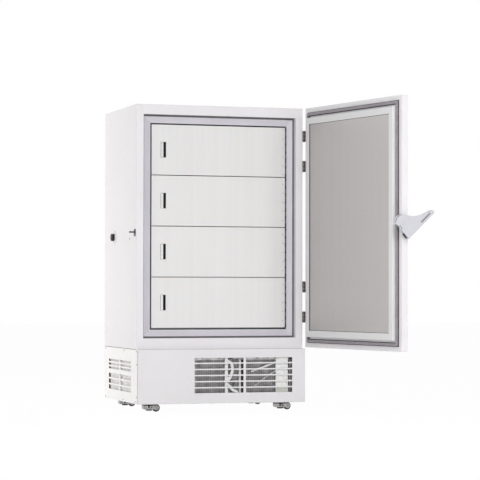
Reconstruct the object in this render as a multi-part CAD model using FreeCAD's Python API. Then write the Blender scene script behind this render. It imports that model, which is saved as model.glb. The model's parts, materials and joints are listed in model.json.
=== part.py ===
import FreeCAD, Part
import math
import os

# Upright ultra-low-temperature laboratory freezer. Millimetres, +Z up, +X to the viewer's
# right, the front faces -Y. The origin is on the floor under the centre of the cabinet.
# The outer door is built closed, then turned open about its hinge pins.

V = FreeCAD.Vector
X_AXIS = V(1, 0, 0)
Y_AXIS = V(0, 1, 0)
Z_AXIS = V(0, 0, 1)

# Cabinet
CABINET_WIDTH = 1124.0
CABINET_DEPTH = 834.0
TOP_Z = 1975.0
LEDGE_Z = 404.0
SKIN = 1.5
SEAM = 0.3

# Front opening, its recess and the trim round the inner doors
OPENING_JAMB = 47.0
OPENING_SILL = 71.0
OPENING_HEAD = 63.0
RECESS_DEPTH = 37.0
TRIM_THICKNESS = 3.0
SEAL_WIDTH = 12.0
FRAME_WIDTH = 42.0
MITRE_GAP = 0.4

# Chamber
LINER_THICKNESS = 1.2
BACK_WALL = 127.0
STOP_WIDTH = 18.0
STOP_THICKNESS = 4.0
SHELF_THICKNESS = 1.5
SHELF_NOSING = 25.0
SHELF_LEDGE_WIDTH = 12.0
SHELF_LEDGE_HEIGHT = 4.0

# Inner doors
INNER_DOOR_SETBACK = 2.0
INNER_DOOR_THICKNESS = 28.0
INNER_DOOR_COUNT = 4
INNER_DOOR_GAP = 3.0
INNER_DOOR_LEFT_GAP = 9.0
INNER_DOOR_TOP_GAP = 8.0
INNER_DOOR_BOTTOM_GAP = 12.0
INNER_DOOR_CORNER = 4.0
PULL_WIDTH = 35.0
PULL_HEIGHT = 100.0
PULL_DEPTH = 18.0
PULL_INSET = 61.0
PULL_CORNER = 8.0
PULL_LIP_WIDTH = 17.0
PULL_LIP_THICKNESS = 2.0
INNER_BARREL_RADIUS = 4.0
INNER_BARREL_PROUD = 3.0
INNER_PIN_RADIUS = 1.6
INNER_LEAF_THICKNESS = 1.2
INNER_LEAF_WIDTH = 25.0
KNUCKLE_COUNT = 3
BARREL_SIDES = 12
DRUM_SIDES = 24
KNUCKLE_GAP = 0.4
RUNNING_CLEARANCE = 0.05

# Outer door
DOOR_LEDGE_GAP = 8.0
DOOR_GAP = 13.0
DOOR_THICKNESS = 44.0
DOOR_EDGE_RADIUS = 3.0
DOOR_FLANGE = 28.0
DOOR_OPEN_ANGLE = 101.8
PLUG_HEIGHT = 30.0
PLUG_SIDE_CLEARANCE = 10.0
PLUG_END_CLEARANCE = 5.5
PLUG_RING_WIDTH = 42.0
PLUG_RING_THICKNESS = 6.2
DOOR_PANEL_THICKNESS = 2.0
DOOR_PANEL_GAP = 3.0
DOOR_PANEL_RECESS = 2.2
GASKET_MARGIN = 30.0
GASKET_WIDTH = 26.0
GASKET_BASE_HEIGHT = 5.0
GASKET_TAPER = 3.0

# Outer door hinges
HINGE_TOP_DROP = 183.0
HINGE_BOTTOM_RISE = 197.0
HINGE_PAIR_SPACING = 197.0
HINGE_HEIGHT = 70.0
HINGE_OUT = 8.0
HINGE_LEAF_THICKNESS = 3.0
HINGE_LEAF_WIDTH = 34.0
HINGE_PIN_RADIUS = 4.0
HINGE_CAP_HEIGHT = 2.0
HINGE_CAP_RADIUS = 6.4
HINGE_CLEARANCE = 0.3

# Latch
LATCH_PIVOT_Z = 1187.0
LATCH_PIN_RADIUS = 7.0
LATCH_BASE_THICKNESS = 7.0
LATCH_ARM_LIFT = 2.0
LATCH_EYE_RADIUS = 16.8
LATCH_ARM_FLARE = 8.0
LATCH_GAP = 0.5
LATCH_FOOT_BEVEL = 6.0
LATCH_FOOT_INSET = 3.0
LATCH_FOOT_RISE = 45.0
LATCH_FOOT_DROP = 70.0
LATCH_HEAD_RADIUS = 10.5
LATCH_HEAD_HEIGHT = 2.5
LATCH_WALL = 3.0
LATCH_DEPTH = 36.0
LATCH_TURN = 45.0
LATCH_BOSS_RADIUS = 14.0

# Lever's outline, each corner as its reach forward of the pivot and its rise above it
LATCH_HUB_RADIUS = 57.0
LATCH_HUB_END_ANGLE = 82.0
LATCH_EDGE_DISTANCE = 38.9
LATCH_EDGE_LENGTH = 131.2
LATCH_WAIST_REACH = 88.0
LATCH_WAIST_RISE = 50.0
LATCH_GRIP_REACH = 206.0
LATCH_GRIP_RISE = 88.0
LATCH_TIP_REACH = 222.0
LATCH_TIP_RISE = 80.0
LATCH_CHIN_REACH = 218.0
LATCH_CHIN_RISE = 67.0
GRIP_SLOT_WIDTH = 11.0
GRIP_SLOT_LENGTH = 88.0
GRIP_SLOT_DEPTH = 2.0
GRIP_SLOT_MARGIN = 17.0
GRIP_BAR_WIDTH = 13.0
HOOK_OFFSET = 8.0
HOOK_THICKNESS = 10.0
HOOK_FINGER = 6.0
HOOK_CLEARANCE = 0.8
STRIKER_SETBACK = 34.0
STRIKER_DROP = 32.0
STRIKER_PIN_RADIUS = 6.0
STRIKER_PIN_LENGTH = 38.0
STRIKER_PLATE_WIDTH = 30.0
STRIKER_PLATE_RISE = 19.3
STRIKER_PLATE_DROP = 26.7
STRIKER_PLATE_THICKNESS = 4.0

# Access port in the left side
PORT_SETBACK = 580.0
PORT_Z = 1133.0
PORT_BORE_RADIUS = 23.0
PORT_TUBE_WALL = 5.0
PORT_FLANGE_RADIUS = 45.0
PORT_FLANGE_THICKNESS = 4.0
PORT_PLUG_HEAD_RADIUS = 25.5
PORT_PLUG_HEAD_HEIGHT = 16.0
PORT_PLUG_LENGTH = 60.0
PORT_PLUG_CLEARANCE = 0.1

# Base
BASE_BOTTOM_Z = 57.0
COVER_RETURN = 16.0
SIDE_PANEL_OVERHANG = 35.0
CHASSIS_THICKNESS = 3.0
CHASSIS_FLANGE = 25.0
CHASSIS_FLANGE_THICKNESS = 2.0
CHASSIS_OVERLAP = 16.0
POST_SIZE = 40.0
POST_THICKNESS = 3.0
GRILLE_SIDE_MARGIN = 90.0
GRILLE_LENGTH = 660.0
GRILLE_PILLAR_MARGIN = 328.0
GRILLE_PILLAR_WIDTH = 17.0
GRILLE_SILL = 67.0
GRILLE_SLOT = 30.0
GRILLE_PITCH = 39.0
GRILLE_ROWS = 6
SIDE_GRILLE_SETBACK = 125.0
SIDE_GRILLE_LENGTH = 587.0
SIDE_GRILLE_BAR = 25.0
SIDE_SLOT_TALL = 29.0
SIDE_SLOT_TALL_PITCH = 39.0
SIDE_SLOT_THIN = 16.0
SIDE_SLOT_THIN_PITCH = 25.0
SIDE_SLOT_STEP = 28.0
SIDE_SLOT_ROWS = 3
LOUVRE_REACH = 9.0
LOUVRE_OPEN = 2.0
REAR_GRILLE_LENGTH = 392.0
REAR_SLOT = 15.0

# Refrigeration machinery
COIL_SETBACK = 28.0
COIL_DEPTH = 44.0
COIL_HEAD_GAP = 32.7
COIL_SIDE_GAP = 12.0
COIL_FRAME_THICKNESS = 2.0
COIL_FIN_INSET = 3.0
COIL_FIN_SILL = 20.0
COIL_FIN_HEAD = 6.0
COIL_TUBE_RADIUS = 5.0
COIL_PIPE_REACH = 14.0
COIL_PIPE_MARGIN = 50.0
PIPE_SIDES = 8
FAN_RADIUS = 118.0
FAN_RISE = 15.0
FAN_SETBACK = 6.0
FAN_TIP_GAP = 8.0
FAN_HUB_RADIUS = 30.0
FAN_HUB_HEIGHT = 24.0
FAN_BLADES = 5
FAN_BLADE_THICKNESS = 3.0
FAN_BLADE_WIDTH = 44.0
FAN_BLADE_TIP = 113.0
FAN_BLADE_ROOT = 4.0
FAN_BLADE_TILT = 30.0
FAN_SHAFT_RADIUS = 4.0
VENTURI_DEPTH = 32.0
VENTURI_THICKNESS = 3.0
SHROUD_THICKNESS = 2.0
SHROUD_SIDE_GAP = 10.0
MOTOR_RADIUS = 42.0
MOTOR_LENGTH = 70.0
MOTOR_BAR_THICKNESS = 4.0
MOTOR_BAR_WIDTH = 24.0
COMPRESSOR_RADIUS = 98.0
COMPRESSOR_HEIGHT = 240.0
COMPRESSOR_SIDE_SETBACK = 242.0
COMPRESSOR_BACK_SETBACK = 237.0
COMPRESSOR_SPACING = 330.0
COMPRESSOR_CROWN = 26.0
COMPRESSOR_PLATE_LENGTH = 235.0
COMPRESSOR_PLATE_WIDTH = 167.0
COMPRESSOR_PLATE_THICKNESS = 5.0
COMPRESSOR_STUB_RISE = 168.0
COMPRESSOR_STUB_REACH = 39.0
GROMMET_SIZE = 28.0
GROMMET_HEIGHT = 16.0
ELECTRIC_BOX_WIDTH = 330.0
ELECTRIC_BOX_DEPTH = 260.0
ELECTRIC_BOX_HEIGHT = 230.0
ELECTRIC_BOX_SIDE_GAP = 72.0
ELECTRIC_BOX_BACK_GAP = 47.0
ELECTRIC_LID_HEIGHT = 12.0
ELECTRIC_LID_LIP = 3.0
CONTROL_UNIT_WIDTH = 84.0
CONTROL_UNIT_HEIGHT = 240.0
CONTROL_UNIT_DEPTH = 20.0
CONTROL_UNIT_MARGIN = 25.0
CONTROL_UNIT_SILL = 50.0
CONTROL_UNIT_CORNER = 3.0
WIRE_DUCT_WIDTH = 22.0
WIRE_DUCT_MARGIN = 206.0
INLET_SIDE_SETBACK = 232.0
INLET_RISE = 93.0
INLET_WIDTH = 52.0
INLET_DEPTH = 24.0
INLET_HEIGHT = 32.0
INLET_FLANGE = 5.0
INLET_FLANGE_THICKNESS = 3.0
INLET_WALL = 5.0
INLET_BLADE_WIDTH = 6.0
INLET_BLADE_THICKNESS = 2.4
INLET_BLADE_SPACING = 10.0

# Levelling castors
CASTOR_SIDE_SETBACK = 116.0
CASTOR_FRONT_SETBACK = 110.0
CASTOR_REAR_SETBACK = 104.0
CASTOR_PLATE_SIZE = 72.0
CASTOR_PLATE_THICKNESS = 5.0
CASTOR_TRAIL = 46.0
CASTOR_WIDTH = 46.0
CASTOR_REAR = 42.0
CASTOR_BODY_BOTTOM_Z = 16.0
CASTOR_CHEEK_RADIUS = 15.0
CASTOR_BEVEL = 5.0
CASTOR_KING_RADIUS = 11.0
CASTOR_KING_LENGTH = 7.0
CASTOR_GAP = 0.5
WHEEL_RADIUS = 25.0
WHEEL_SIDES = 32
WHEEL_WIDTH = 22.0
WHEEL_CLEARANCE = 2.0
WHEEL_AXLE_RADIUS = 4.0
FOOT_PAD_RADIUS = 20.5
FOOT_PAD_HEIGHT = 6.0
FOOT_LIFT = 8.0
FOOT_STUD_RADIUS = 6.0
FOOT_NUT_RADIUS = 13.5
FOOT_NUT_HEIGHT = 8.0
FOOT_NUT_CLEARANCE = 2.0
FOOT_TRAVEL = 10.0
FOOT_WINDOW_WIDTH = 32.0

# Places that follow from the sizes above
HALF_W = CABINET_WIDTH / 2
FRONT_Y = -CABINET_DEPTH / 2
BACK_Y = CABINET_DEPTH / 2
OPEN_HALF = HALF_W - OPENING_JAMB
OPENING_BOTTOM_Z = LEDGE_Z + OPENING_SILL
OPENING_TOP_Z = TOP_Z - OPENING_HEAD
RECESS_Y = FRONT_Y + RECESS_DEPTH
TRIM_BACK_Y = RECESS_Y + TRIM_THICKNESS
TRIM_WIDTH = SEAL_WIDTH + FRAME_WIDTH
CHAMBER_HALF = OPEN_HALF - TRIM_WIDTH
CHAMBER_BOTTOM_Z = OPENING_BOTTOM_Z + TRIM_WIDTH
CHAMBER_TOP_Z = OPENING_TOP_Z - TRIM_WIDTH
CHAMBER_BACK_Y = BACK_Y - BACK_WALL
INNER_DOOR_Y = RECESS_Y + INNER_DOOR_SETBACK
STOP_Y = INNER_DOOR_Y + INNER_DOOR_THICKNESS + SEAM
INNER_AXIS_X = CHAMBER_HALF - INNER_BARREL_RADIUS
INNER_AXIS_Y = RECESS_Y - INNER_BARREL_PROUD
DOOR_BOTTOM_Z = LEDGE_Z + DOOR_LEDGE_GAP
DOOR_INNER_Y = FRONT_Y - DOOR_GAP
DOOR_OUTER_Y = DOOR_INNER_Y - DOOR_THICKNESS
HINGE_X = HALF_W + HINGE_OUT
HINGE_Y = FRONT_Y - DOOR_GAP / 2
BARREL_RADIUS = math.hypot(HINGE_OUT, DOOR_GAP / 2) - HINGE_CLEARANCE
TOP_HINGE_Z = TOP_Z - HINGE_TOP_DROP
BOTTOM_HINGE_Z = DOOR_BOTTOM_Z + HINGE_BOTTOM_RISE
HINGE_CENTRES_Z = (TOP_HINGE_Z, TOP_HINGE_Z - HINGE_PAIR_SPACING,
                   BOTTOM_HINGE_Z + HINGE_PAIR_SPACING, BOTTOM_HINGE_Z)
PLUG_HALF = OPEN_HALF - PLUG_SIDE_CLEARANCE
PLUG_BOTTOM_Z = OPENING_BOTTOM_Z + PLUG_END_CLEARANCE
PLUG_TOP_Z = OPENING_TOP_Z - PLUG_END_CLEARANCE
LATCH_Y = FRONT_Y
CHASSIS_Z = BASE_BOTTOM_Z + SKIN + SEAM
TRAY_Z = CHASSIS_Z + CHASSIS_THICKNESS
CHASSIS_HALF = HALF_W - SKIN - SEAM
CHASSIS_FRONT_Y = DOOR_OUTER_Y + SKIN + COVER_RETURN
SIDE_PANEL_FRONT_Y = FRONT_Y - SIDE_PANEL_OVERHANG
GRILLE_RIGHT_X = HALF_W - GRILLE_SIDE_MARGIN
GRILLE_LEFT_X = GRILLE_RIGHT_X - GRILLE_LENGTH
GRILLE_BOTTOM_Z = BASE_BOTTOM_Z + GRILLE_SILL
COIL_Y = DOOR_OUTER_Y + COIL_SETBACK
COIL_BACK_Y = COIL_Y + COIL_DEPTH
COIL_TOP_Z = LEDGE_Z - SKIN - COIL_HEAD_GAP
FAN_X = (GRILLE_LEFT_X + GRILLE_RIGHT_X) / 2
FAN_Z = (TRAY_Z + COIL_TOP_Z) / 2 + FAN_RISE
INLET_X = HALF_W - INLET_SIDE_SETBACK
INLET_Z = BASE_BOTTOM_Z + INLET_RISE
CASTOR_PLATE_Z = CHASSIS_Z - CASTOR_PLATE_THICKNESS
CASTOR_BODY_TOP_Z = CASTOR_PLATE_Z - CASTOR_GAP


def box(x0, x1, y0, y1, z0, z1):
    return Part.makeBox(x1 - x0, y1 - y0, z1 - z0, V(x0, y0, z0))


def ring(half, bottom, top, width, y0, y1):
    """Flat rectangular ring round the front opening, its outer edge given."""
    outer = box(-half, half, y0, y1, bottom, top)
    inner = box(-half + width, half - width, y0 - 1, y1 + 1, bottom + width, top - width)
    return outer.cut(inner)


def rod(radius, start, end):
    line = end.sub(start)
    return Part.makeCylinder(radius, line.Length, start, line)


def drum(radius, start, end, sides):
    """A round piece drawn with flat sides where its exact roundness has no use."""
    axis = end.sub(start)
    turn = FreeCAD.Rotation(Z_AXIS, axis)
    corners = []
    for index in range(sides):
        angle = 2 * math.pi * (index + 0.5) / sides
        corners.append(start.add(turn.multVec(V(radius * math.cos(angle), radius * math.sin(angle), 0))))
    return prism(lines(corners), axis)


def fuse(shapes):
    return shapes[0].multiFuse(shapes[1:]).removeSplitter()


def prism(edges, direction):
    return Part.Face(Part.Wire(edges)).extrude(direction)


def lines(points):
    closed = points + points[:1]
    return [Part.LineSegment(a, b).toShape() for a, b in zip(closed, closed[1:])]


def edges_along(shape, axis, select=lambda point: True):
    """Straight edges parallel to an axis whose middle passes the test."""
    found = []
    for edge in shape.Edges:
        if edge.Curve.TypeId != "Part::GeomLine":
            continue
        if abs(edge.Curve.Direction.dot(axis)) > 0.999 and select(edge.CenterOfMass):
            found.append(edge)
    return found


def port_hole(radius):
    y = FRONT_Y + PORT_SETBACK
    return rod(radius, V(-HALF_W - 10, y, PORT_Z), V(-CHAMBER_HALF + 30, y, PORT_Z))


# Cabinet casing: one bent sheet with the recess walls folded back round the opening.
def cabinet_shell():
    outer = box(-HALF_W, HALF_W, FRONT_Y, BACK_Y, LEDGE_Z, TOP_Z - SKIN)
    inside = box(-HALF_W + SKIN, HALF_W - SKIN, FRONT_Y + SKIN, BACK_Y + 1, LEDGE_Z + SKIN, TOP_Z)
    opening = box(-OPEN_HALF, OPEN_HALF, FRONT_Y - 1, TRIM_BACK_Y + 1, OPENING_BOTTOM_Z, OPENING_TOP_Z)
    walls = box(-OPEN_HALF - SKIN, OPEN_HALF + SKIN, FRONT_Y, TRIM_BACK_Y,
                OPENING_BOTTOM_Z - SKIN, OPENING_TOP_Z + SKIN)
    casing = fuse([outer.cut(inside), walls])
    return casing.cut(opening).cut(port_hole(PORT_BORE_RADIUS + PORT_TUBE_WALL))


def top_panel():
    plate = box(-HALF_W, HALF_W, FRONT_Y, BACK_Y, TOP_Z - SKIN, TOP_Z)
    return plate.makeFillet(SKIN * 0.8, edges_along(plate, X_AXIS, lambda p: p.z > TOP_Z - SKIN / 2))


def back_panel():
    edge = SKIN + SEAM
    return box(-HALF_W + edge, HALF_W - edge, BACK_Y - SKIN, BACK_Y, LEDGE_Z + edge, TOP_Z - edge)


# Foam slabs between the casing and the chamber, stepped to follow the recess.
def insulation_side(sign):
    outer = HALF_W - SKIN
    wall = (sign * outer, sign * (CHAMBER_HALF + LINER_THICKNESS))
    lip = (sign * outer, sign * (OPEN_HALF + SKIN))
    bottom, top = LEDGE_Z + SKIN, TOP_Z - SKIN
    slab = box(min(wall), max(wall), TRIM_BACK_Y, BACK_Y - SKIN, bottom, top)
    strip = box(min(lip), max(lip), FRONT_Y + SKIN, TRIM_BACK_Y, bottom, top)
    foam = fuse([slab, strip])
    if sign < 0:
        foam = foam.cut(port_hole(PORT_BORE_RADIUS + PORT_TUBE_WALL))
    return foam


def insulation_end(bottom, top, lip_bottom, lip_top):
    half = CHAMBER_HALF + LINER_THICKNESS
    slab = box(-half, half, TRIM_BACK_Y, BACK_Y - SKIN, bottom, top)
    lip_half = OPEN_HALF + SKIN
    strip = box(-lip_half, lip_half, FRONT_Y + SKIN, TRIM_BACK_Y, lip_bottom, lip_top)
    return fuse([slab, strip])


def insulation_back():
    half = CHAMBER_HALF + LINER_THICKNESS
    return box(-half, half, CHAMBER_BACK_Y + LINER_THICKNESS, BACK_Y - SKIN,
               CHAMBER_BOTTOM_Z - LINER_THICKNESS, CHAMBER_TOP_Z + LINER_THICKNESS)


# Chamber: a seamless steel box with a stop round its mouth and ledges for the shelves.
def chamber_liner():
    t = LINER_THICKNESS
    half = CHAMBER_HALF
    outer = box(-half - t, half + t, TRIM_BACK_Y, CHAMBER_BACK_Y + t,
                CHAMBER_BOTTOM_Z - t, CHAMBER_TOP_Z + t)
    inside = box(-half, half, TRIM_BACK_Y - 1, CHAMBER_BACK_Y, CHAMBER_BOTTOM_Z, CHAMBER_TOP_Z)
    stop = ring(half, CHAMBER_BOTTOM_Z, CHAMBER_TOP_Z, STOP_WIDTH, STOP_Y, STOP_Y + STOP_THICKNESS)
    pieces = [outer.cut(inside), stop]
    for z in shelf_heights():
        top = z - SHELF_THICKNESS
        for x in (-half, half - SHELF_LEDGE_WIDTH):
            pieces.append(box(x, x + SHELF_LEDGE_WIDTH, STOP_Y + STOP_THICKNESS, CHAMBER_BACK_Y,
                              top - SHELF_LEDGE_HEIGHT, top))
    return fuse(pieces).cut(port_hole(PORT_BORE_RADIUS + PORT_TUBE_WALL))


def shelf(z):
    """Steel shelf with its front and rear edges folded down, resting on the ledges."""
    half = CHAMBER_HALF - SEAM
    front = STOP_Y + STOP_THICKNESS + SEAM
    back = CHAMBER_BACK_Y - SEAM
    inner = half - SHELF_LEDGE_WIDTH
    plate = box(-half, half, front, back, z - SHELF_THICKNESS, z)
    nose = box(-inner, inner, front, front + SHELF_THICKNESS, z - SHELF_NOSING, z)
    tail = box(-inner, inner, back - SHELF_THICKNESS, back, z - SHELF_NOSING, z)
    return fuse([plate, nose, tail])


def recess_seal():
    return ring(OPEN_HALF, OPENING_BOTTOM_Z, OPENING_TOP_Z, SEAL_WIDTH, RECESS_Y, TRIM_BACK_Y)


# Breaker frame: four moulded strips with mitred corners.
def breaker_frame():
    outer = (OPEN_HALF - SEAL_WIDTH, OPENING_BOTTOM_Z + SEAL_WIDTH, OPENING_TOP_Z - SEAL_WIDTH)
    whole = ring(outer[0], outer[1], outer[2], FRAME_WIDTH, RECESS_Y, TRIM_BACK_Y)
    cut = whole
    for x, z, sx, sz in ((-outer[0], outer[1], 1, 1), (outer[0], outer[1], -1, 1),
                         (-outer[0], outer[2], 1, -1), (outer[0], outer[2], -1, -1)):
        along = V(sx, 0, sz).normalize()
        across = V(-sz * sx * along.z, 0, along.x * sz * sx).normalize() * (MITRE_GAP / 2)
        start = V(x, RECESS_Y - 1, z).sub(along * 5)
        end = start.add(along * (FRAME_WIDTH * 2))
        saw = [start.add(across), end.add(across), end.sub(across), start.sub(across)]
        cut = cut.cut(prism(lines(saw), V(0, TRIM_THICKNESS + 2, 0)))
    return Part.makeCompound(cut.Solids)


# Inner doors, numbered from the top.
def inner_door_bands():
    """Bottom and top of each door: equal heights with the same gap between."""
    top = CHAMBER_TOP_Z - INNER_DOOR_TOP_GAP
    bottom = CHAMBER_BOTTOM_Z + INNER_DOOR_BOTTOM_GAP
    pitch = (top - bottom + INNER_DOOR_GAP) / INNER_DOOR_COUNT
    tops = [top - index * pitch for index in range(INNER_DOOR_COUNT)]
    return [(high - pitch + INNER_DOOR_GAP, high) for high in tops]


def shelf_heights():
    """A shelf stands behind each gap between two doors."""
    return [bottom - INNER_DOOR_GAP / 2 for bottom, top in inner_door_bands()[:-1]]


def knuckles(bottom, top, on_door):
    """Barrel pieces of one piano hinge: the frame has the end ones, the door those between."""
    pitch = (top - bottom) / KNUCKLE_COUNT
    rings = []
    for index in range(1 if on_door else 0, KNUCKLE_COUNT, 2):
        z0 = bottom + index * pitch + KNUCKLE_GAP / 2
        z1 = bottom + (index + 1) * pitch - KNUCKLE_GAP / 2
        low, high = V(INNER_AXIS_X, INNER_AXIS_Y, z0), V(INNER_AXIS_X, INNER_AXIS_Y, z1)
        barrel = drum(INNER_BARREL_RADIUS, low, high, BARREL_SIDES)
        if on_door:
            web = box(INNER_AXIS_X - INNER_BARREL_RADIUS - 1, INNER_AXIS_X,
                      INNER_AXIS_Y + 1, INNER_DOOR_Y, z0, z1)
            rings.append(barrel.fuse(web).cut(rod(INNER_PIN_RADIUS + RUNNING_CLEARANCE, low, high)))
        else:
            web = box(INNER_AXIS_X, CHAMBER_HALF, INNER_AXIS_Y + 1, RECESS_Y, z0, z1)
            rings.append(barrel.fuse(web))
    return rings


def inner_door(bottom, top):
    left = -CHAMBER_HALF + INNER_DOOR_LEFT_GAP
    right = INNER_AXIS_X - INNER_BARREL_RADIUS / 2
    panel = box(left, right, INNER_DOOR_Y, INNER_DOOR_Y + INNER_DOOR_THICKNESS, bottom, top)
    panel = panel.makeFillet(INNER_DOOR_CORNER, edges_along(panel, Y_AXIS, lambda p: p.x < 0))
    z0 = (bottom + top - PULL_HEIGHT) / 2
    z1 = z0 + PULL_HEIGHT
    x0 = left + PULL_INSET
    pocket = box(x0, x0 + PULL_WIDTH, INNER_DOOR_Y, INNER_DOOR_Y + PULL_DEPTH, z0, z1)
    pocket = pocket.makeFillet(PULL_CORNER, edges_along(pocket, Y_AXIS))
    lip = box(x0 - 1, x0 + PULL_LIP_WIDTH, INNER_DOOR_Y, INNER_DOOR_Y + PULL_LIP_THICKNESS, z0 - 1, z1 + 1)
    leaf_right = INNER_AXIS_X - INNER_BARREL_RADIUS
    leaf = box(leaf_right - INNER_LEAF_WIDTH, leaf_right,
               INNER_DOOR_Y - INNER_LEAF_THICKNESS, INNER_DOOR_Y, bottom, top)
    return fuse([panel.cut(pocket), lip, leaf] + knuckles(bottom, top, True))


def inner_hinge_frames():
    """Frame half of each piano hinge, with the pin that is fixed in it."""
    frames = []
    for bottom, top in inner_door_bands():
        leaf = box(CHAMBER_HALF - INNER_LEAF_THICKNESS, CHAMBER_HALF, RECESS_Y, STOP_Y - SEAM, bottom, top)
        pin = rod(INNER_PIN_RADIUS, V(INNER_AXIS_X, INNER_AXIS_Y, bottom + 1),
                  V(INNER_AXIS_X, INNER_AXIS_Y, top - 1))
        frames.append(fuse([leaf, pin] + knuckles(bottom, top, False)))
    return Part.makeCompound(frames)


# Outer door, built closed.
def swing(shape):
    turned = shape.copy()
    turned.rotate(V(HINGE_X, HINGE_Y, 0), Z_AXIS, DOOR_OPEN_ANGLE)
    return turned


def door_shell():
    outer = box(-HALF_W, HALF_W, DOOR_OUTER_Y, DOOR_INNER_Y, DOOR_BOTTOM_Z, TOP_Z)
    rim = edges_along(outer, Z_AXIS, lambda p: p.y < DOOR_INNER_Y - 1)
    rim += edges_along(outer, X_AXIS, lambda p: p.y < DOOR_INNER_Y - 1)
    outer = outer.makeFillet(DOOR_EDGE_RADIUS, rim)
    inside = box(-HALF_W + SKIN, HALF_W - SKIN, DOOR_OUTER_Y + SKIN, DOOR_INNER_Y - SKIN,
                 DOOR_BOTTOM_Z + SKIN, TOP_Z - SKIN)
    mouth = box(-HALF_W + DOOR_FLANGE, HALF_W - DOOR_FLANGE, DOOR_INNER_Y - SKIN - 1, DOOR_INNER_Y + 1,
                DOOR_BOTTOM_Z + DOOR_FLANGE, TOP_Z - DOOR_FLANGE)
    return outer.cut(inside).cut(mouth)


def door_insulation():
    slab = box(-HALF_W + SKIN, HALF_W - SKIN, DOOR_OUTER_Y + SKIN, DOOR_INNER_Y - SKIN,
               DOOR_BOTTOM_Z + SKIN, TOP_Z - SKIN)
    return fuse([slab, plug_core()])


def plug_core():
    wall = DOOR_PANEL_THICKNESS
    return box(-PLUG_HALF + wall, PLUG_HALF - wall, DOOR_INNER_Y - SKIN,
               DOOR_INNER_Y + PLUG_HEIGHT - PLUG_RING_THICKNESS, PLUG_BOTTOM_Z + wall, PLUG_TOP_Z - wall)


def plug_pocket(gap):
    """The shallow place in the middle of the raised liner that takes the metal panel."""
    edge = PLUG_RING_WIDTH + gap
    floor_y = DOOR_INNER_Y + PLUG_HEIGHT - DOOR_PANEL_RECESS - DOOR_PANEL_THICKNESS
    return (-PLUG_HALF + edge, PLUG_HALF - edge, floor_y, PLUG_BOTTOM_Z + edge, PLUG_TOP_Z - edge)


def door_liner():
    edge = DOOR_FLANGE + SEAM
    plate = box(-HALF_W + edge, HALF_W - edge, DOOR_INNER_Y - SKIN, DOOR_INNER_Y,
                DOOR_BOTTOM_Z + edge, TOP_Z - edge)
    block = box(-PLUG_HALF, PLUG_HALF, DOOR_INNER_Y, DOOR_INNER_Y + PLUG_HEIGHT, PLUG_BOTTOM_Z, PLUG_TOP_Z)
    rim = edges_along(block, Z_AXIS, lambda p: p.y > DOOR_INNER_Y + 1)
    rim += edges_along(block, X_AXIS, lambda p: p.y > DOOR_INNER_Y + 1)
    block = block.makeFillet(DOOR_EDGE_RADIUS, rim)
    x0, x1, floor_y, z0, z1 = plug_pocket(0)
    pocket = box(x0, x1, floor_y, DOOR_INNER_Y + PLUG_HEIGHT + 1, z0, z1)
    return fuse([plate, block]).cut(plug_core()).cut(pocket)


def door_panel():
    x0, x1, floor_y, z0, z1 = plug_pocket(DOOR_PANEL_GAP)
    return box(x0, x1, floor_y, floor_y + DOOR_PANEL_THICKNESS, z0, z1)


def door_gasket():
    """Bellows seal: a wide foot and a narrower magnet bar that meets the cabinet."""
    y0 = DOOR_INNER_Y
    y1 = y0 + GASKET_BASE_HEIGHT
    y2 = FRONT_Y - SEAM
    half = HALF_W - GASKET_MARGIN
    bottom = DOOR_BOTTOM_Z + GASKET_MARGIN
    top = TOP_Z - GASKET_MARGIN
    foot = ring(half, bottom, top, GASKET_WIDTH, y0, y1)
    bar = ring(half - GASKET_TAPER, bottom + GASKET_TAPER, top - GASKET_TAPER,
               GASKET_WIDTH - 2 * GASKET_TAPER, y1, y2)
    return fuse([foot, bar])


# Outer hinges: the cabinet has the two end knuckles and the fixed pin, the door the middle one.
def hinge_leaf(centre_z, on_door):
    half = HINGE_HEIGHT / 2
    third = HINGE_HEIGHT / 3
    x0, x1 = HALF_W, HALF_W + HINGE_LEAF_THICKNESS
    clear = BARREL_RADIUS + HINGE_CLEARANCE * 3
    if on_door:
        plate = box(x0, x1, HINGE_Y - clear - HINGE_LEAF_WIDTH, HINGE_Y - clear,
                    centre_z - half, centre_z + half)
        spans = [(centre_z - third / 2 + HINGE_CLEARANCE, centre_z + third / 2 - HINGE_CLEARANCE)]
        reach = (HINGE_Y - clear, HINGE_Y)
    else:
        plate = box(x0, x1, HINGE_Y + clear, HINGE_Y + clear + HINGE_LEAF_WIDTH,
                    centre_z - half, centre_z + half)
        spans = [(centre_z - half, centre_z - third / 2), (centre_z + third / 2, centre_z + half)]
        reach = (HINGE_Y, HINGE_Y + clear)
    pieces = [plate]
    for z0, z1 in spans:
        pieces.append(box(x0, x1, reach[0], reach[1], z0, z1))
        pieces.append(drum(BARREL_RADIUS, V(HINGE_X, HINGE_Y, z0), V(HINGE_X, HINGE_Y, z1), BARREL_SIDES))
    low, high = V(HINGE_X, HINGE_Y, centre_z - half), V(HINGE_X, HINGE_Y, centre_z + half)
    if on_door:
        return fuse(pieces).cut(rod(HINGE_PIN_RADIUS + RUNNING_CLEARANCE, low, high))
    pieces.append(rod(HINGE_PIN_RADIUS, low, high))
    cap = V(0, 0, HINGE_CAP_HEIGHT)
    for start, end in ((low.sub(cap), low), (high, high.add(cap))):
        pieces.append(drum(HINGE_CAP_RADIUS, start, end, BARREL_SIDES))
    return fuse(pieces)


# Latch on the free edge of the outer door. Its outline is drawn in a plane along the
# cabinet's side: forward from the pivot and up, with the lever as it hangs unlatched.
def latch_point(forward, up, out):
    return V(-HALF_W - out, LATCH_Y - forward, LATCH_PIVOT_Z + up)


def latch_polar(radius, degrees, out):
    angle = math.radians(degrees)
    return latch_point(radius * math.cos(angle), radius * math.sin(angle), out)


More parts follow.
